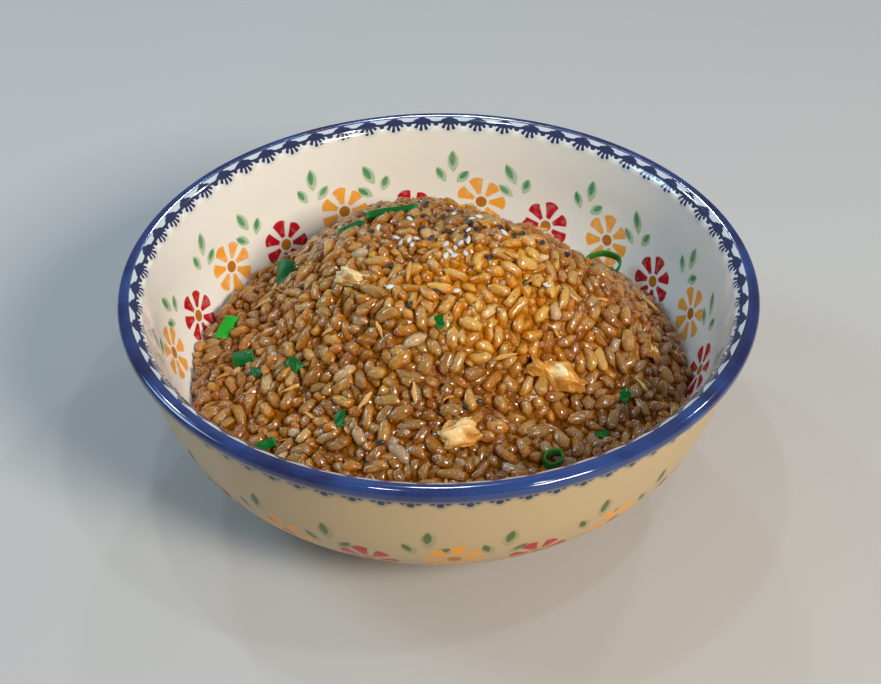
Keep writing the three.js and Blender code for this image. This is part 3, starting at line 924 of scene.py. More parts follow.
def scattered(name, shape, material, places, turns, sizes, **numbers):
    """One mesh piece with the shape at every place; numbers become point attributes for the material."""
    mesh = bpy.data.meshes.new(name + "_points")
    mesh.from_pydata([tuple(p) for p in places], [], [])
    for label, rows in (("turn", turns), ("size", sizes)):
        layer = mesh.attributes.new(label, "FLOAT_VECTOR", "POINT")
        layer.data.foreach_set("vector", np.asarray(rows, float).ravel())
    for label, values in numbers.items():
        mark(mesh, label, values)
    points = link(bpy.data.objects.new(name + "_points", mesh))
    link(shape)
    modifier = points.modifiers.new("heap", "NODES")
    modifier.node_group = SCATTER
    modifier[socket_key("Shape")] = shape
    modifier[socket_key("Finish")] = material
    made = plain_mesh(points)
    made.name = name
    for label in ("turn", "size"):
        if label in made.attributes:
            made.attributes.remove(made.attributes[label])
    bpy.data.objects.remove(points)
    bpy.data.objects.remove(shape)
    return link(bpy.data.objects.new(name, made))


def axis_turn(axis, roll):
    """Euler angles that lay local X along an axis and roll the shape about it."""
    across = Vector((0, 0, 1)).cross(Vector(axis))
    if across.length < 1e-4:
        across = Vector((0, 1, 0))
    across.normalize()
    up = Vector(axis).cross(across)
    base = Matrix((axis, across, up)).transposed()
    return (base @ Matrix.Rotation(roll, 3, "X")).to_euler()


def flat_turn(normal, draw):
    """Euler angles that lay a shape flat against a normal, with local X any way round."""
    heading = Vector(draw.normal(0, 1, 3))
    heading = (heading - normal * heading.dot(normal)).normalized()
    return Matrix((heading, normal.cross(heading), normal)).transposed().to_euler()


def ray_down(surface, x, y):
    """Point and normal where a ray from above meets the grains; both are None where it misses."""
    return surface.ray_cast(Vector((x * MM, y * MM, RAY_START * MM)), Vector((0, 0, -1)))[:2]


def ray_through(surface, u, v):
    """Point and normal that the photograph shows at a pixel; both are None where it misses."""
    return surface.ray_cast(CAMERA_PLACE, photo_ray(u, v))[:2]


def rice_group():
    """Shares of gold and amber over a grain, painted shade that is darker the deeper it lies, and painted
    glints of oil.
    """
    inputs, leave = new_group("Sauce and painted light on rice", "Tone Sauce Belly Depth", "Gold Amber Dark Glint")
    tone, sauce, belly, depth = inputs
    place = object_place(leave.id_data)
    blotch = noise_term(place, 330.0, 2.0)
    fleck = noise_term(place, 1100.0, 3.0)
    wander = (blotch - 0.5) * 1.2 + (fleck - 0.5)
    gold = (tone * -0.8 + wander * 1.3 + 0.95 - belly * 0.35).math("ADD", 0.0, clamp=True)
    # Amber at the ends, sides and deep down: partly the sauce's colour, partly painted shade
    ends = belly.fall(0.0, 0.6) * 0.6
    amber = (depth + wander * 1.4 + sauce * 0.4 + ends - tone * 0.7).rise(-1.0, 0.7)
    # Painted shade in the gaps: darker the deeper a place lies below the grains' tops
    dark = (depth + wander * 1.5 - tone * 0.4).rise(1.2, 3.2)
    # Painted highlight specks on the grains' tops
    patch = noise_term(place, 420.0, 1.0).rise(0.44, 0.56)
    glint = noise_term(place, 2300.0, 1.0).rise(0.62, 0.66) * patch * depth.fall(0.3, 0.9)
    return give(leave, Gold=gold, Amber=amber, Dark=dark, Glint=glint)


RICE_GROUP = rice_group()


def rice_material(name, wetness=0.9, coat_roughness=0.06, relief=0.10):
    """Oily, slightly translucent rice: milky where it stands out, amber at its sides, with painted shade in
    the gaps and away from the lamp, and painted glints of oil.
    """
    material, tree, shader = new_material(name)
    place = object_place(tree)
    tone, sauce, belly, depth = [attribute_term(tree, n) for n in ("tone", "sauce", "belly", "depth")]
    gold, amber, dark, glint = use_group(tree, RICE_GROUP, Tone=tone, Sauce=sauce, Belly=belly, Depth=depth)
    colour = mixed(gold, MILKY, GOLD)
    # Amber: partly the sauce's colour, partly painted shade at the sides and deep down
    colour = mixed(amber, colour, AMBER)
    # Painted shade in the gaps
    colour = mixed(dark, colour, CREVICE_SHADE)
    colour = mixed(tone.rise(1.1, 1.9) * depth.fall(0.3, 1.6) * 0.85, colour, PALE)
    # Painted shade: darker where the sauce number is low, away from the lamp's pool of light
    colour = mixed(sauce.inverse() * 0.95, colour, SHADE_AWAY_FROM_LIGHT, "MULTIPLY")
    # Painted highlight specks of oil; they are also metallic, so they reflect the lamps too
    colour = mixed(glint, colour, PAINTED_OIL_GLINT)
    wrinkle = noise_term(place, 800.0, 1.0) + noise_term(place, 2300.0, 1.0) * 0.5
    give(shader, Base_Color=colour, Metallic=glint * wetness, Normal=wrinkle.bump(1.0, relief * MM),
         Roughness=noise_term(place, 260.0, 2.0) * 0.2 + 0.32)
    settle(shader, Subsurface_Weight=0.8, Subsurface_Radius=(1.0, 0.5, 0.18), Subsurface_Scale=0.0045,
           Specular_IOR_Level=0.05, IOR=1.4)
    settle(shader, Coat_Weight=wetness, Coat_IOR=1.5, Coat_Roughness=coat_roughness)
    return material


def set_depth(mesh, level):
    """Marks how deep every point lies below the grains' tops, in millimetres, and more on steep sides; the
    rice material paints shade by it.
    """
    x, y, z = coordinates(mesh).T
    normals = np.empty(len(x) * 3)
    mesh.vertex_normals.foreach_get("vector", normals)
    outward = heap_normal(x, y)
    steep = 1 - (normals.reshape(-1, 3) * outward).sum(1)
    below = (level(x, y) - z) * outward[:, 2] + FILM_DEPTH
    mark(mesh, "depth", below + steep * SIDE_DEPTH)


def sauce_and_light_share(x, y):
    """How golden the rice is and how much painted light it has: most right of the middle, some at the left,
    and a little on the clumps, so that the rest and the hollows between clumps are painted darker.
    """
    golden = 1.15 * np.exp(-((x - 15) / 30) ** 2 - ((y + 4) / 24) ** 2)
    side = 0.45 * np.exp(-((x + 45) / 35) ** 2 - ((y - 5) / 55) ** 2)
    return np.clip(golden + side + 0.08 * clump_height(x, y), 0, 1)


def pale_share(x, y):
    """How much paler the grains are: white where the photograph shows such clumps, and in broad patches."""
    pale = 0.3 * np.sin(x / 9 + 1) * np.sin(y / 7 - 2)
    for middle_x, middle_y, radius in PALE_SPOTS:
        pale = pale + 1.7 * np.exp(-((x - middle_x) ** 2 + (y - middle_y) ** 2) / radius ** 2)
    return pale


def film_level(surface):
    """Gives the level of the sauce and crumbs between the grains: their tops, smoothed and let down."""
    reach = HEAP_RADIUS + 2
    line = np.arange(-reach, reach + FILM_STEP, FILM_STEP)
    tops = np.empty((len(line), len(line)))
    for i, x in enumerate(line):
        for j, y in enumerate(line):
            bare = float(heap_height(x, y))
            point, _ = ray_down(surface, x, y)
            tops[i, j] = bare - GAP_DEPTH if point is None else max(point.z / MM, bare - DEEPEST_HIT)
    spread = FILM_SMOOTHING / FILM_STEP
    kernel = np.exp(-0.5 * (np.arange(-FILM_KERNEL_REACH, FILM_KERNEL_REACH + 1) / spread) ** 2)
    kernel /= kernel.sum()

    def smoothed(row):
        return np.convolve(np.pad(row, FILM_KERNEL_REACH, "edge"), kernel, "valid")

    for axis in (0, 1):
        tops = np.apply_along_axis(smoothed, axis, tops)

    def level(x, y):
        u, v = [np.clip((p + reach) / FILM_STEP, 0, len(line) - 1.001) for p in (x, y)]
        i, j = u.astype(int), v.astype(int)
        s, t = u - i, v - j
        near = tops[i, j] * (1 - s) + tops[i + 1, j] * s
        far = tops[i, j + 1] * (1 - s) + tops[i + 1, j + 1] * s
        return near * (1 - t) + far * t - FILM_DEPTH / heap_normal(x, y)[..., 2]

    return level


def make_core(level):
    """The inside of the heap, whose crumbly, wet surface shows between the grains, darkened there with
    painted shade.
    """
    angles = np.arange(CORE_SIDES) * 2 * math.pi / CORE_SIDES
    vertices = [(0, 0, float(level(np.array(0.0), np.array(0.0))) * MM)]
    for share in np.linspace(0, 1, CORE_RINGS + 1)[1:]:
        radius = share * (HEAP_RADIUS - CORE_EDGE_GAP)
        x, y = radius * np.cos(angles), radius * np.sin(angles)
        crumbs = 0.45 * np.sin(x * 2.3 + 2 * np.sin(y * 1.3)) * np.sin(y * 2.1 + 2 * np.sin(x * 1.1))
        crumbs += 0.2 * np.sin(x * 4.9 + np.sin(y * 3.1)) * np.sin(y * 5.3 + np.sin(x * 2.7))
        z = level(x, y) + crumbs
        vertices += list(zip(x * MM, y * MM, z * MM))
    for z in CORE_LOWER_HEIGHTS:
        vertices += circle(float(wall_radius(z)) - CORE_WALL_GAP, z, angles)
    vertices.append((0, 0, CORE_FOOT_HEIGHT * MM))
    faces = lathe_faces(CORE_RINGS + len(CORE_LOWER_HEIGHTS), CORE_SIDES)
    # The rows run from the top down here, so every face is turned over
    faces = [(face[0], *face[:0:-1]) for face in faces]
    material = rice_material("rice_between_grains", wetness=0.15, coat_roughness=0.3, relief=0.3)
    core = link(shape_object("rice_core", vertices, faces, material))
    set_depth(core.data, level)
    # The sauce number also carries painted light: where it is low, the surface is painted darker
    mark(core.data, "sauce", [float(sauce_and_light_share(x / MM, y / MM)) for x, y, _ in vertices])
    mark(core.data, "tone", [CORE_TONE] * len(vertices))
    mark(core.data, "belly", [CORE_BELLY] * len(vertices))
    return add_piece(core, "fried_rice", "rice")


GRAIN_KINDS = (
    # name, length, width, flatness, bow, notch, share of the grains
    ("rice_plump", 7.6, 4.7, 0.9, 0.2, 0.8, 0.38),
    ("rice_long", 8.5, 4.3, 0.88, 0.3, 0.75, 0.30),
    ("rice_bowed", 8.1, 4.4, 0.92, 0.7, 0.7, 0.23),
    ("rice_broken", 5.7, 4.3, 0.95, 0.1, 0.6, 0.09),
)


def make_rice(toppings):
    """Every grain of the heap, one piece for each kind."""
    draw = np.random.RandomState(RICE_SEED)
    middles, axes = packed_grains(draw, toppings)
    count = len(middles)
    tone = draw.uniform(0, 1, count)
    # The sauce number also carries painted light: where it is low, the grains are painted darker
    sauce = np.clip(sauce_and_light_share(middles[:, 0], middles[:, 1]) + draw.normal(0, 0.12, count), 0, 1)
    rolls = draw.uniform(0, 2 * math.pi, count)
    tone = tone + pale_share(middles[:, 0], middles[:, 1]) + 0.7 * (rolls > PALE_ROLL)
    swell = draw.normal(1.0, 0.10, (count, 3)).clip(0.78, 1.2)
    pick = draw.uniform(0, 1, count)
    material = rice_material("fried_rice_grains")
    start = 0.0
    pieces = []
    for name, length, width, flatness, bow, notch, share in GRAIN_KINDS:
        chosen = (pick >= start) & (pick < start + share)
        start += share
        shape = grain_template(name + "_shape", length, width, flatness, bow, notch)
        turns = [axis_turn(a, r) for a, r in zip(axes[chosen], rolls[chosen])]
        piece = scattered(name, shape, material, middles[chosen] * MM, turns, swell[chosen],
                          tone=tone[chosen], sauce=sauce[chosen])
        knead(piece.data)
        pieces.append(add_piece(piece, "fried_rice"))
    return pieces


def knead(mesh):
    """Gives every grain lumps of its own, by a slow wander of the whole heap's points."""
    places = coordinates(mesh)
    x, y, z = places.T
    moved = np.stack([
        0.26 * np.sin(1.7 * y + 1.3 * z + 2 * np.sin(0.8 * x)) + 0.08 * np.sin(3.9 * z - 2.9 * x),
        0.26 * np.sin(1.6 * z + 1.5 * x + 2 * np.sin(0.9 * y)) + 0.08 * np.sin(3.7 * x + 3.1 * y),
        0.26 * np.sin(1.8 * x - 1.4 * y + 2 * np.sin(0.7 * z)) + 0.08 * np.sin(4.1 * y - 2.7 * z),
    ], 1)
    mesh.vertices.foreach_set("co", ((places + moved) * MM).ravel())
    mesh.update()


def surface_tree(objects):
    """A search tree over the faces of several pieces."""
    vertices, faces = [], []
    for obj in objects:
        start = len(vertices)
        vertices += [v.co.copy() for v in obj.data.vertices]
        faces += [tuple(start + i for i in p.vertices) for p in obj.data.polygons]
    return BVHTree.FromPolygons(vertices, faces)


# Sesame

BLACK_SESAME_SPOTS = (
    (424, 216), (443, 217), (469, 223), (485, 225), (449, 232), (431, 238), (466, 236), (501, 228),
    (513, 236), (407, 261), (390, 266), (489, 258), (542, 243), (567, 254), (525, 283), (437, 292),
    (410, 305), (466, 407), (480, 401), (381, 442), (476, 228), (412, 218))
WHITE_SESAME_SPOTS = (
    (454, 214), (479, 217), (504, 233), (468, 240), (396, 238), (412, 245), (416, 239), (446, 245),
    (446, 256), (454, 256), (466, 254), (390, 287), (547, 285), (456, 291), (401, 243), (409, 240),
    (455, 248), (461, 243), (472, 219), (450, 252))
SESAME_SEED = 51
BLACK_LIGHT, BLACK_DARK = (0.035, 0.03, 0.035), (0.006, 0.006, 0.008)
WHITE_LIGHT, WHITE_DARK = (0.66, 0.69, 0.68), (0.48, 0.48, 0.43)
SESAME_LENGTH = 3.0
SESAME_WIDTH = 1.7
SESAME_FLATNESS = 0.5
SESAME_STATIONS = ((-0.5, 0), (-0.42, 0.42), (-0.2, 0.85), (0.05, 1.0), (0.28, 0.75), (0.43, 0.36),
                   (0.5, 0))
SESAME_LIFT = 0.25
# A sight line that clears the crest can meet the heap's low far edge, where no seed goes
LOWEST_SEED = 34.0
SPARE_BLACK, SPARE_WHITE = 9, 8
SPARE_MIDDLE = (2, 34)
SPARE_SPREAD = (20, 14)
SPARE_EDGE_GAP = 4


def sesame_material(name, light, dark, speckle):
    """A dry seed skin, speckled between two colours."""
    material, tree, shader = new_material(name)
    grain = noise_term(object_place(tree), 1500.0, 2.0)
    tone = attribute_term(tree, "tone")
    colour = mixed(grain.rise(0.3, 0.7) * speckle + tone * (1 - speckle), dark, light)
    give(shader, Base_Color=colour, Normal=grain.bump(0.4, 0.0001), Roughness=grain * 0.2 + 0.28)
    return material


def make_sesame(name, spots, spare_count, material, surface, draw):
    """Seeds where the photograph shows them, and a few on the side that it doesn't."""
    hits = [ray_through(surface, u, v) for u, v in spots]
    hits = [hit for hit in hits if hit[0] is not None and hit[0].z > LOWEST_SEED * MM]
    for _ in range(spare_count):
        x, y = [draw.normal(*pair) for pair in zip(SPARE_MIDDLE, SPARE_SPREAD)]
        point, normal = ray_down(surface, x, y)
        if point is not None and math.hypot(x, y) < HEAP_RADIUS - SPARE_EDGE_GAP:
            hits.append((point, normal))
    places, turns = [], []
    for point, normal in hits:
        slope = Vector(heap_normal(np.array(point.x / MM), np.array(point.y / MM)))
        lie = (normal + slope * 1.2).normalized()
        places.append(point + lie * SESAME_LIFT * MM)
        turns.append(flat_turn(lie, draw))
    sizes = np.repeat(draw.normal(1, 0.06, (len(places), 1)), 3, 1)
    seed = grain_template(name + "_shape", SESAME_LENGTH, SESAME_WIDTH, SESAME_FLATNESS, 0.0, 1.0,
                          SESAME_STATIONS)
    piece = scattered(name, seed, material, places, turns, sizes, tone=draw.uniform(0, 1, len(places)))
    return add_piece(piece, "fried_rice")


# Toppings

STRIPS = {
    # node: turn in degrees, length, width in millimetres
    "scallion_crest_long": (4, 17, 4.5), "scallion_crest_short": (12, 10.5, 3.6),
    "scallion_left_back": (84, 9.4, 8.2), "scallion_left_bright": (62, 9.2, 5.8),
    "scallion_left_square": (2, 7.2, 6.0), "scallion_left_small": (-20, 4.8, 3.6),
    "scallion_left_fold": (-50, 7.4, 4.6), "scallion_centre_bit": (-75, 4.4, 3.4),
    "scallion_front_bit": (80, 5.2, 3.4), "scallion_front_left": (15, 6, 3.8),
    "scallion_right_dark": (70, 5, 3.6), "scallion_right_square": (60, 4.4, 4),
}
RINGS = {
    # node: turn, radius, height
    "scallion_ring_back": (0, 6.2, 3.4), "scallion_ring_front": (30, 3.4, 3),
}
LUMPS = {
    # node: turn, length, width, height, seed, how fried
    "egg_lump_crest": (-35, 12.5, 6.6, 6.2, 11, 0.3), "egg_lump_front": (10, 15, 11, 7.5, 29, 0.8),
}
SHEETS = {
    # node: turn, length, width, thickness, wave
    "egg_sheet_right": (-16, 20, 8.5, 1.5, 1.5), "egg_sheet_edge": (-55, 9, 4, 1.3, 0.5),
}
TOPPING_SEED = 733
SCALLION_WALL = 0.9
SCALLION_TUBE_RADIUS = 5.0
STRIP_ROWS, STRIP_COLUMNS = 13, 9
RING_STEPS = 40
# A ring's section, each corner as shares of the wall inwards and of the height
RING_SECTION = ((0.0, 0.0), (0.0, 0.5), (0.0, 1.0), (1.0, 1.0), (1.0, 0.5), (1.0, 0.0))
SHEET_ROWS, SHEET_COLUMNS = 40, 22
TOPPING_LIFT = 1.6
LEAF_DARK_GREEN = (0.000, 0.060, 0.006)
LEAF_MIDDLE_GREEN = (0.002, 0.17, 0.014)
LEAF_BRIGHT_GREEN = (0.015, 0.36, 0.022)
LEAF_CUT_GREEN = (0.10, 0.34, 0.06)
CURD_YELLOW = (0.78, 0.54, 0.21)
CURD_PALE = (0.85, 0.68, 0.38)
EGG_BROWNED = (0.60, 0.27, 0.030)
EGG_CHARRED = (0.24, 0.07, 0.012)
# How far some toppings lean from the heap's normal towards the front, and rings towards the top
LEAN_FRONT = {"scallion_left_back": 1.9, "scallion_left_bright": 1.0, "scallion_left_square": 0.9,
              "scallion_left_small": 0.4, "scallion_crest_short": 0.6, "scallion_crest_long": 0.6,
              "scallion_front_left": 0.5, "egg_sheet_right": 0.3, "scallion_ring_back": 2.3}
FRONT = Vector((0, -0.75, 0.66))
RING_LEAN_UP = Vector((0, 0, 1.2))


def topping_frame(node, turn_degrees):
    """Middle of a node's box in millimetres, and the turn whose Z is the side that shows."""
    low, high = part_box(node)
    middle = (low + high) / 2 / MM
    normal = Vector(heap_normal(np.array(middle.x), np.array(middle.y)))
    if node in LEAN_FRONT:
        normal = (normal + FRONT * LEAN_FRONT[node]).normalized()
    if node in RINGS:
        normal = (normal + RING_LEAN_UP).normalized()
    stand = Vector((0, 0, 1)).rotation_difference(normal)
    turn = stand @ Quaternion((0, 0, 1), math.radians(turn_degrees))
    return middle + normal * (TOPPING_LIFT + LEAN_FRONT.get(node, 0)), turn.to_matrix()


def topping_obstacles():
    """Footprints that the grains keep clear of: place, turn, half length and half width."""
    footprints = dict(STRIPS)
    footprints |= {n: (turn, 2 * radius, 2 * radius) for n, (turn, radius, _) in RINGS.items()}
    footprints |= {n: (row[0], row[1] * 0.8, row[2] * 0.8) for n, row in LUMPS.items()}
    footprints |= {n: (row[0], row[1] * 0.6, row[2] * 0.5) for n, row in SHEETS.items()}
    obstacles = []
    for node, (turn, length, width) in footprints.items():
        middle, matrix = topping_frame(node, turn)
        obstacles.append((np.array(middle), np.array(matrix), length / 2, width / 2))
    return obstacles


def placed(vertices, middle, matrix):
    """Local millimetre points moved to their place, in metres."""
    return [(matrix @ Vector(v) + middle) * MM for v in vertices]


def sheet_solid(name, top, under, rows, columns, material=None):
    """Closes two grids of points into one thin solid."""
    count = rows * columns
    faces = []
    for i in range(rows - 1):
        for j in range(columns - 1):
            a, b = i * columns + j, i * columns + j + 1
            c, d = (i + 1) * columns + j + 1, (i + 1) * columns + j
            faces.append((a, b, c, d))
            faces.append((count + d, count + c, count + b, count + a))
    rim = ([j for j in range(columns)] + [i * columns + columns - 1 for i in range(1, rows)]
           + [(rows - 1) * columns + j for j in range(columns - 2, -1, -1)]
           + [i * columns for i in range(rows - 2, 0, -1)])
    for a, b in zip(rim, rim[1:] + rim[:1]):
        faces.append((b, a, count + a, count + b))
    sheet = shape_object(name, top + under, faces, material)
    face_outward(sheet.data)
    return sheet


def soften(obj):
    """Rounds a piece off with one subdivision, applied to the mesh itself."""
    smooth = link(obj).modifiers.new("subdivision", "SUBSURF")
    smooth.levels = smooth.render_levels = 1
    made = plain_mesh(obj)
    obj.modifiers.clear()
    obj.data = made
    return obj


def scallion_material():
    """Moist scallion leaf: fine ribs along the leaf, paler at the cut edges."""
    material, tree, shader = new_material("scallion_green")
    cut_edge, tone, across = [attribute_term(tree, n) for n in ("cut", "tone", "rib")]
    rib = ((across * 40.0).math("SINE") * 0.5 + 0.5) * 0.35
    blotch = noise_term(object_place(tree), 420.0, 3.0)
    colour = mixed((rib + blotch * 0.6) * 0.8, LEAF_DARK_GREEN, LEAF_MIDDLE_GREEN)
    colour = mixed(tone.rise(0.7, 1.0), colour, LEAF_BRIGHT_GREEN)
    colour = mixed(cut_edge * 0.4, colour, LEAF_CUT_GREEN)
    give(shader, Base_Color=colour, Normal=(rib + blotch * 0.4).bump(0.3, 0.0003),
         Roughness=blotch * 0.12 + 0.10)
    settle(shader, Subsurface_Weight=0.1, Subsurface_Radius=(0.3, 1.0, 0.25), Subsurface_Scale=0.0008,
           Specular_IOR_Level=0.2, Coat_Weight=0.1, Coat_Roughness=0.04)
    return material


def make_strip(node, turn, length, width, material, draw):
    """A curved strip of scallion with slightly skewed cuts."""
    middle, matrix = topping_frame(node, turn)
    half = width / 2 / SCALLION_TUBE_RADIUS
    skew = draw.uniform(-0.25, 0.25)
    twist = draw.uniform(-0.12, 0.12)
    sag = SCALLION_TUBE_RADIUS * (1 + math.cos(half)) / 2
    top, under, rib, cut = [], [], [], []
    for i in range(STRIP_ROWS):
        t = i / (STRIP_ROWS - 1) - 0.5
        for j in range(STRIP_COLUMNS):
            s = (j / (STRIP_COLUMNS - 1) - 0.5) * 2
            angle = s * half + twist * t
            along = t * length + skew * s * width / 2 + 0.12 * math.sin(9 * t + turn)
            ripple = 0.12 * math.sin(7 * t + 3 * s)
            for side, depth in ((top, 0), (under, SCALLION_WALL)):
                radius = SCALLION_TUBE_RADIUS - depth
                side.append((along, radius * math.sin(angle), radius * math.cos(angle) - sag + ripple))
            rib.append(s * width / 4)
            cut.append(max(0.0, (abs(t) - 0.44) / 0.06))
    leaf = sheet_solid(node + "_leaf", placed(top, middle, matrix), placed(under, middle, matrix),
                       STRIP_ROWS, STRIP_COLUMNS, material)
    mark(leaf.data, "rib", rib * 2)
    mark(leaf.data, "cut", cut + [max(c, 0.6) for c in cut])
    tone = 1.0 if "bright" in node else draw.uniform(0.1, 0.75)
    mark(leaf.data, "tone", [tone] * len(leaf.data.vertices))
    return add_piece(soften(leaf), "scallion", node)


def make_ring(node, turn, radius, height, material, draw):
    """A cut ring of scallion, a little oval and wavy."""
    middle, matrix = topping_frame(node, turn)
    columns = len(RING_SECTION)
    vertices, faces, rib, cut = [], [], [], []
    for i in range(RING_STEPS):
        a = 2 * math.pi * i / RING_STEPS
        wave = 1 + 0.07 * math.sin(2 * a + 0.7) + 0.03 * math.sin(5 * a)
        for j, (inward, up) in enumerate(RING_SECTION):
            r = radius * wave - inward * SCALLION_WALL
            z = (up - 0.5) * height + 0.25 * math.sin(3 * a)
            vertices.append((r * math.cos(a), r * math.sin(a) * 0.94, z))
            rib.append(up)
            cut.append(0.9 if inward and up in (0.0, 1.0) else 0.2 + 0.5 * inward)
            here, there = i * columns, (i + 1) % RING_STEPS * columns
            after = (j + 1) % columns
            faces.append((here + j, here + after, there + after, there + j))
    leaf = shape_object(node + "_leaf", placed(vertices, middle, matrix), faces, material)
    face_outward(leaf.data)
    mark(leaf.data, "rib", rib)
    mark(leaf.data, "cut", cut)
    mark(leaf.data, "tone", [draw.uniform(0.2, 0.6)] * len(vertices))
    return add_piece(soften(leaf), "scallion", node)


def egg_material():
    """Fried egg: pale curd, yellow body and browned, oily edges."""
    material, tree, shader = new_material("fried_egg")
    place = object_place(tree)
    fry = attribute_term(tree, "fry")
    curd = noise_term(place, 260.0, 4.0)
    fine = noise_term(place, 1300.0, 3.0)
    browned = (fry + (curd - 0.5) * 0.9 + (fine - 0.5) * 0.4).rise(0.35, 1.0)
    charred = (fry + (fine - 0.5) * 0.8).rise(0.95, 1.35)
    colour = mixed(curd.rise(0.35, 0.65), CURD_YELLOW, CURD_PALE)
    colour = mixed(browned, colour, EGG_BROWNED)
    colour = mixed(charred * 0.7, colour, EGG_CHARRED)
    give(shader, Base_Color=colour, Normal=(curd + fine * 0.5).bump(0.6, 0.0006),
         Roughness=fine * 0.25 + 0.25)
    settle(shader, Subsurface_Weight=0.35, Subsurface_Radius=(1.0, 0.6, 0.25), Subsurface_Scale=0.0018,
           Coat_Weight=0.35, Coat_Roughness=0.15)
    return material


def make_lump(node, turn, length, width, height, seed, browned, material):
    """A torn curd of egg: a ball swollen and pitted by layered waves."""
    middle, matrix = topping_frame(node, turn)
    work = bmesh.new()
    bmesh.ops.create_icosphere(work, subdivisions=5, radius=1.0)
    fry = []
    for vertex in work.verts:
        p = vertex.co.copy()
        a, b, c = p.x * 2.3 + seed, p.y * 2.7 - seed, p.z * 2.1 + seed * 0.5
        swell = 0.86 + 0.20 * math.sin(a + 1.3 * math.sin(b)) * math.cos(c + math.sin(a))
        folds = 0.12 * math.sin(1.9 * a + 2 * math.sin(1.3 * b))
        creases = 0.06 * math.sin(4.3 * b + 3 * math.cos(c * 2))
        pits = 0.035 * math.sin(9 * a + 3 * math.sin(4 * c)) * math.sin(7 * b + c)
        grow = swell + (folds + creases) + pits
        vertex.co = Vector((p.x * length / 2, p.y * width / 2, p.z * height / 2)) * grow
        fry.append(browned + max(0.0, 0.9 - grow) * 2.2 + 0.35 * (p.x * 0.6 - p.y * 0.5 - p.z * 0.6))
    mesh = bpy.data.meshes.new(node + "_curd")
    work.to_mesh(mesh)
    work.free()
    mesh.transform(Matrix.Translation(middle * MM) @ (matrix.to_4x4() @ Matrix.Scale(MM, 4)))
    mesh.materials.append(material)
    shade_smooth(mesh)
    mark(mesh, "fry", fry)
    return add_piece(link(bpy.data.objects.new(node + "_curd", mesh)), "egg", node)


def make_egg_sheet(node, turn, length, width, thickness, wave, material):
    """A waved flap of fried egg with a ragged, browned edge."""
    middle, matrix = topping_frame(node, turn)
    top, under, fry = [], [], []
    for i in range(SHEET_ROWS):
        u = i / (SHEET_ROWS - 1) - 0.5
        ragged = 1 + 0.20 * math.sin(10 * u + 1) + 0.08 * math.sin(29 * u)
        taper = (1 - 0.9 * u * u) * ragged
        for j in range(SHEET_COLUMNS):
            v = j / (SHEET_COLUMNS - 1) - 0.5
            torn = 0.6 * math.sin(15 * v + 8 * u)
            lift = wave * (math.sin(u * 9 + v * 2) + math.cos(v * 5) - 0.5)
            lift += 0.4 * math.sin(26 * u + 9 * v) + 0.25 * math.sin(17 * v - 12 * u)
            edge = max(abs(u), abs(v)) * 2
            thin = thickness / 2 * (1 - 0.75 * max(0.0, edge - 0.4) / 0.6)
            x, y = u * length + torn, v * width * taper
            top.append((x, y, lift + thin))
            under.append((x, y, lift - thin))
            pale = math.exp(-((u + 0.02) / 0.10) ** 2 - ((v - 0.12) / 0.22) ** 2)
            fry.append(0.98 + 0.4 * max(0.0, edge - 0.35) - 1.4 * pale)
    flap = sheet_solid(node + "_flap", placed(top, middle, matrix), placed(under, middle, matrix),
                       SHEET_ROWS, SHEET_COLUMNS, material)
    mark(flap.data, "fry", fry * 2)
    return add_piece(soften(flap), "egg", node)


def make_toppings():
    """Every scallion and egg piece that the solid has; gives the egg's material for the loose threads."""
    draw = np.random.RandomState(TOPPING_SEED)
    green, egg = scallion_material(), egg_material()
    for node, sizes in STRIPS.items():
        make_strip(node, *sizes, green, draw)
    for node, sizes in RINGS.items():
        make_ring(node, *sizes, green, draw)
    for node, sizes in LUMPS.items():
        make_lump(node, *sizes, egg)
    for node, sizes in SHEETS.items():
        make_egg_sheet(node, *sizes, egg)
    return egg


# Loose scraps: torn egg, browned crumbs

SCRAP_SEED = 9012
SCRAP_EDGE_GAP = 6
LESS_STEEP = Vector((0, 0, 0.4))
THREAD_COUNT = 36
THREAD_SIZE = (7.0, 1.5, 0.4)
THREAD_LIFT = 0.3
THREAD_ROWS, THREAD_COLUMNS = 7, 3
THREAD_SPOTS = ((533, 280), (473, 264), (558, 284), (312, 417), (286, 373), (365, 401), (262, 305),
                (505, 356), (600, 300), (420, 300), (380, 330), (330, 330))
CRUMB_COUNT = 420
CRUMB_RADIUS = 0.7
CRUMB_SINK = 0.15
CRUMB_DARK = (0.16, 0.045, 0.008)
CRUMB_BROWN = (0.46, 0.19, 0.04)


def shred_template(name, length, width, thickness):
    """A short twisted strip with uneven edges, along X."""
    top, under = [], []
    for i in range(THREAD_ROWS):
        t = i / (THREAD_ROWS - 1) - 0.5
        for j in range(THREAD_COLUMNS):
            s = j / (THREAD_COLUMNS - 1) - 0.5
            twist = 1.6 * t
            w = width * (1 - 1.6 * t * t) * (1 + 0.25 * math.sin(9 * t + 4 * s))
            y, z = s * w * math.cos(twist), s * w * math.sin(twist) + 0.22 * length * (0.25 - t * t)
            top.append((t * length * MM, y * MM, (z + thickness / 2) * MM))
            under.append((t * length * MM, y * MM, (z - thickness / 2) * MM))
    return sheet_solid(name, top, under, THREAD_ROWS, THREAD_COLUMNS)


def crumb_template(name):
    """A small lumpy crumb."""
    work = bmesh.new()
    bmesh.ops.create_icosphere(work, subdivisions=1, radius=CRUMB_RADIUS * MM)
    for index, vertex in enumerate(work.verts):
        vertex.co *= 0.8 + 0.35 * math.sin(index * 2.4)
    mesh = bpy.data.meshes.new(name)
    work.to_mesh(mesh)
    work.free()
    return bpy.data.objects.new(name, mesh)


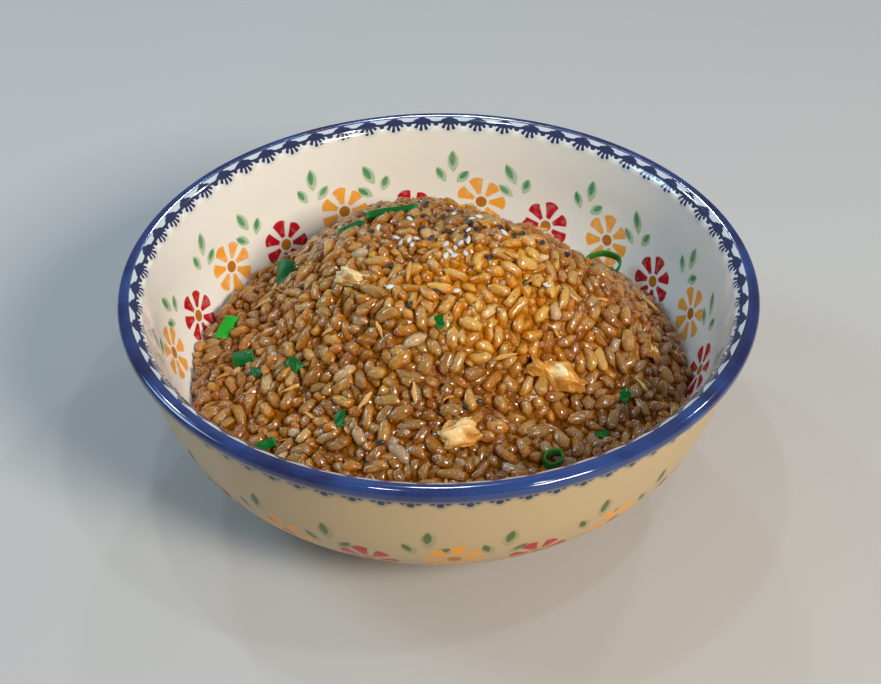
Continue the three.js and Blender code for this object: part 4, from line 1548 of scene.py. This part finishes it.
def crumb_material():
    """Browned, slightly oily crumbs."""
    material, tree, shader = new_material("browned_crumb")
    grain = noise_term(object_place(tree), 1200.0, 3.0)
    give(shader, Base_Color=mixed(grain.rise(0.35, 0.65), CRUMB_DARK, CRUMB_BROWN),
         Normal=grain.bump(0.5, 0.0002), Roughness=grain * 0.3 + 0.25)
    return material


def landed(surface, draw, count, sink, seen=()):
    """Places and turns for scraps on the grains: first where the photograph shows them, then at random."""
    places, turns = [], []
    seen = list(seen)
    while len(places) < count:
        x, y = draw.uniform(-HEAP_RADIUS, HEAP_RADIUS, 2)
        if seen:
            point, normal = ray_through(surface, *seen.pop(0))
        elif math.hypot(x, y) > HEAP_RADIUS - SCRAP_EDGE_GAP:
            continue
        else:
            point, normal = ray_down(surface, x, y)
        if point is None:
            continue
        lie = (normal + LESS_STEEP).normalized()
        places.append(point - lie * sink * MM)
        turns.append(flat_turn(lie, draw))
    return places, turns


def make_scraps(surface, egg):
    """Thin threads of egg and browned crumbs on the rice."""
    draw = np.random.RandomState(SCRAP_SEED)
    places, turns = landed(surface, draw, THREAD_COUNT, -THREAD_LIFT, THREAD_SPOTS)
    sizes = draw.uniform(0.7, 1.1, (THREAD_COUNT, 3))
    fry = draw.uniform(0.7, 1.15, THREAD_COUNT)
    thread = shred_template("shred_shape", *THREAD_SIZE)
    add_piece(scattered("egg_shreds", thread, egg, places, turns, sizes, fry=fry), "egg")
    places, turns = landed(surface, draw, CRUMB_COUNT, CRUMB_SINK)
    sizes = draw.uniform(0.5, 1.3, (CRUMB_COUNT, 3))
    crumb = crumb_template("crumb_shape")
    add_piece(scattered("browned_crumbs", crumb, crumb_material(), places, turns, sizes), "fried_rice")


# Stage and light

FLOOR_HALF = 3.0
FLOOR_PALE = (0.50, 0.49, 0.475)
FLOOR_DARKER = (0.47, 0.46, 0.445)
WORLD_COLOUR = (0.86, 0.90, 1.0, 1.0)
WORLD_STRENGTH = 0.17
LIGHT_TARGET = Vector((0, 0, 0.05))
GLINT_SIZE, GLINT_WATTS, GLINT_COLOUR = 0.05, 1.0, (0.80, 0.90, 1.0)
LIGHTS = {
    # name: place and side in metres, watts, colour
    "key": ((0.64, -0.75, 0.76), 0.32, 14.2, (1.0, 0.92, 0.80)),
    "cool_side": ((-0.85, 0.2, 0.75), 0.4, 4.6, (0.52, 0.79, 1.0)),
    "glint_0": ((-0.5, 0.6, 0.9), GLINT_SIZE, GLINT_WATTS, GLINT_COLOUR),
    "glint_1": ((0.0, 0.8, 0.8), GLINT_SIZE, GLINT_WATTS, GLINT_COLOUR),
    "glint_2": ((0.55, 0.5, 0.9), GLINT_SIZE, GLINT_WATTS, GLINT_COLOUR),
    "glint_3": ((-0.15, 0.15, 1.15), GLINT_SIZE, GLINT_WATTS, GLINT_COLOUR),
    "glint_4": ((0.35, -0.2, 1.1), GLINT_SIZE, GLINT_WATTS, GLINT_COLOUR),
}


def make_stage():
    """A pale floor."""
    material, tree, shader = new_material("pale_floor")
    soft = noise_term(object_place(tree), 3.0, 2.0)
    give(shader, Base_Color=mixed(soft * 0.2, FLOOR_PALE, FLOOR_DARKER))
    settle(shader, Roughness=0.8)
    corners = [(x * FLOOR_HALF, y * FLOOR_HALF, 0) for x, y in ((-1, -1), (1, -1), (1, 1), (-1, 1))]
    floor = link(shape_object("floor", corners, [(0, 1, 2, 3)], material))


def area_light(name, place, side, watts, colour):
    data = bpy.data.lights.new(name, "AREA")
    data.size = side
    data.energy = watts
    data.color = colour
    light = link(bpy.data.objects.new(name, data))
    light.location = place
    light.rotation_euler = (LIGHT_TARGET - Vector(place)).to_track_quat("-Z", "Y").to_euler()


def make_light():
    """A warm lamp, a cool window's light, and small far lamps whose glints show on the oil."""
    world = bpy.data.worlds.new("studio")
    bpy.context.scene.world = world
    world.use_nodes = True
    settle(world.node_tree.nodes["Background"], Color=WORLD_COLOUR, Strength=WORLD_STRENGTH)
    for name, values in LIGHTS.items():
        area_light(name, *values)
    bpy.context.scene.view_settings.view_transform = "Standard"


make_camera()
make_bowl()
grain_pieces = make_rice(topping_obstacles())
surface = surface_tree(grain_pieces)
film = film_level(surface)
for piece in grain_pieces:
    set_depth(piece.data, film)
make_core(film)
egg_finish = make_toppings()
seed_draw = np.random.RandomState(SESAME_SEED)
black = sesame_material("black_sesame_skin", BLACK_LIGHT, BLACK_DARK, speckle=0.5)
white = sesame_material("white_sesame_skin", WHITE_LIGHT, WHITE_DARK, speckle=0.4)
make_sesame("sesame_black", BLACK_SESAME_SPOTS, SPARE_BLACK, black, surface, seed_draw)
make_sesame("sesame_white", WHITE_SESAME_SPOTS, SPARE_WHITE, white, surface, seed_draw)
make_scraps(surface, egg_finish)
make_stage()
make_light()
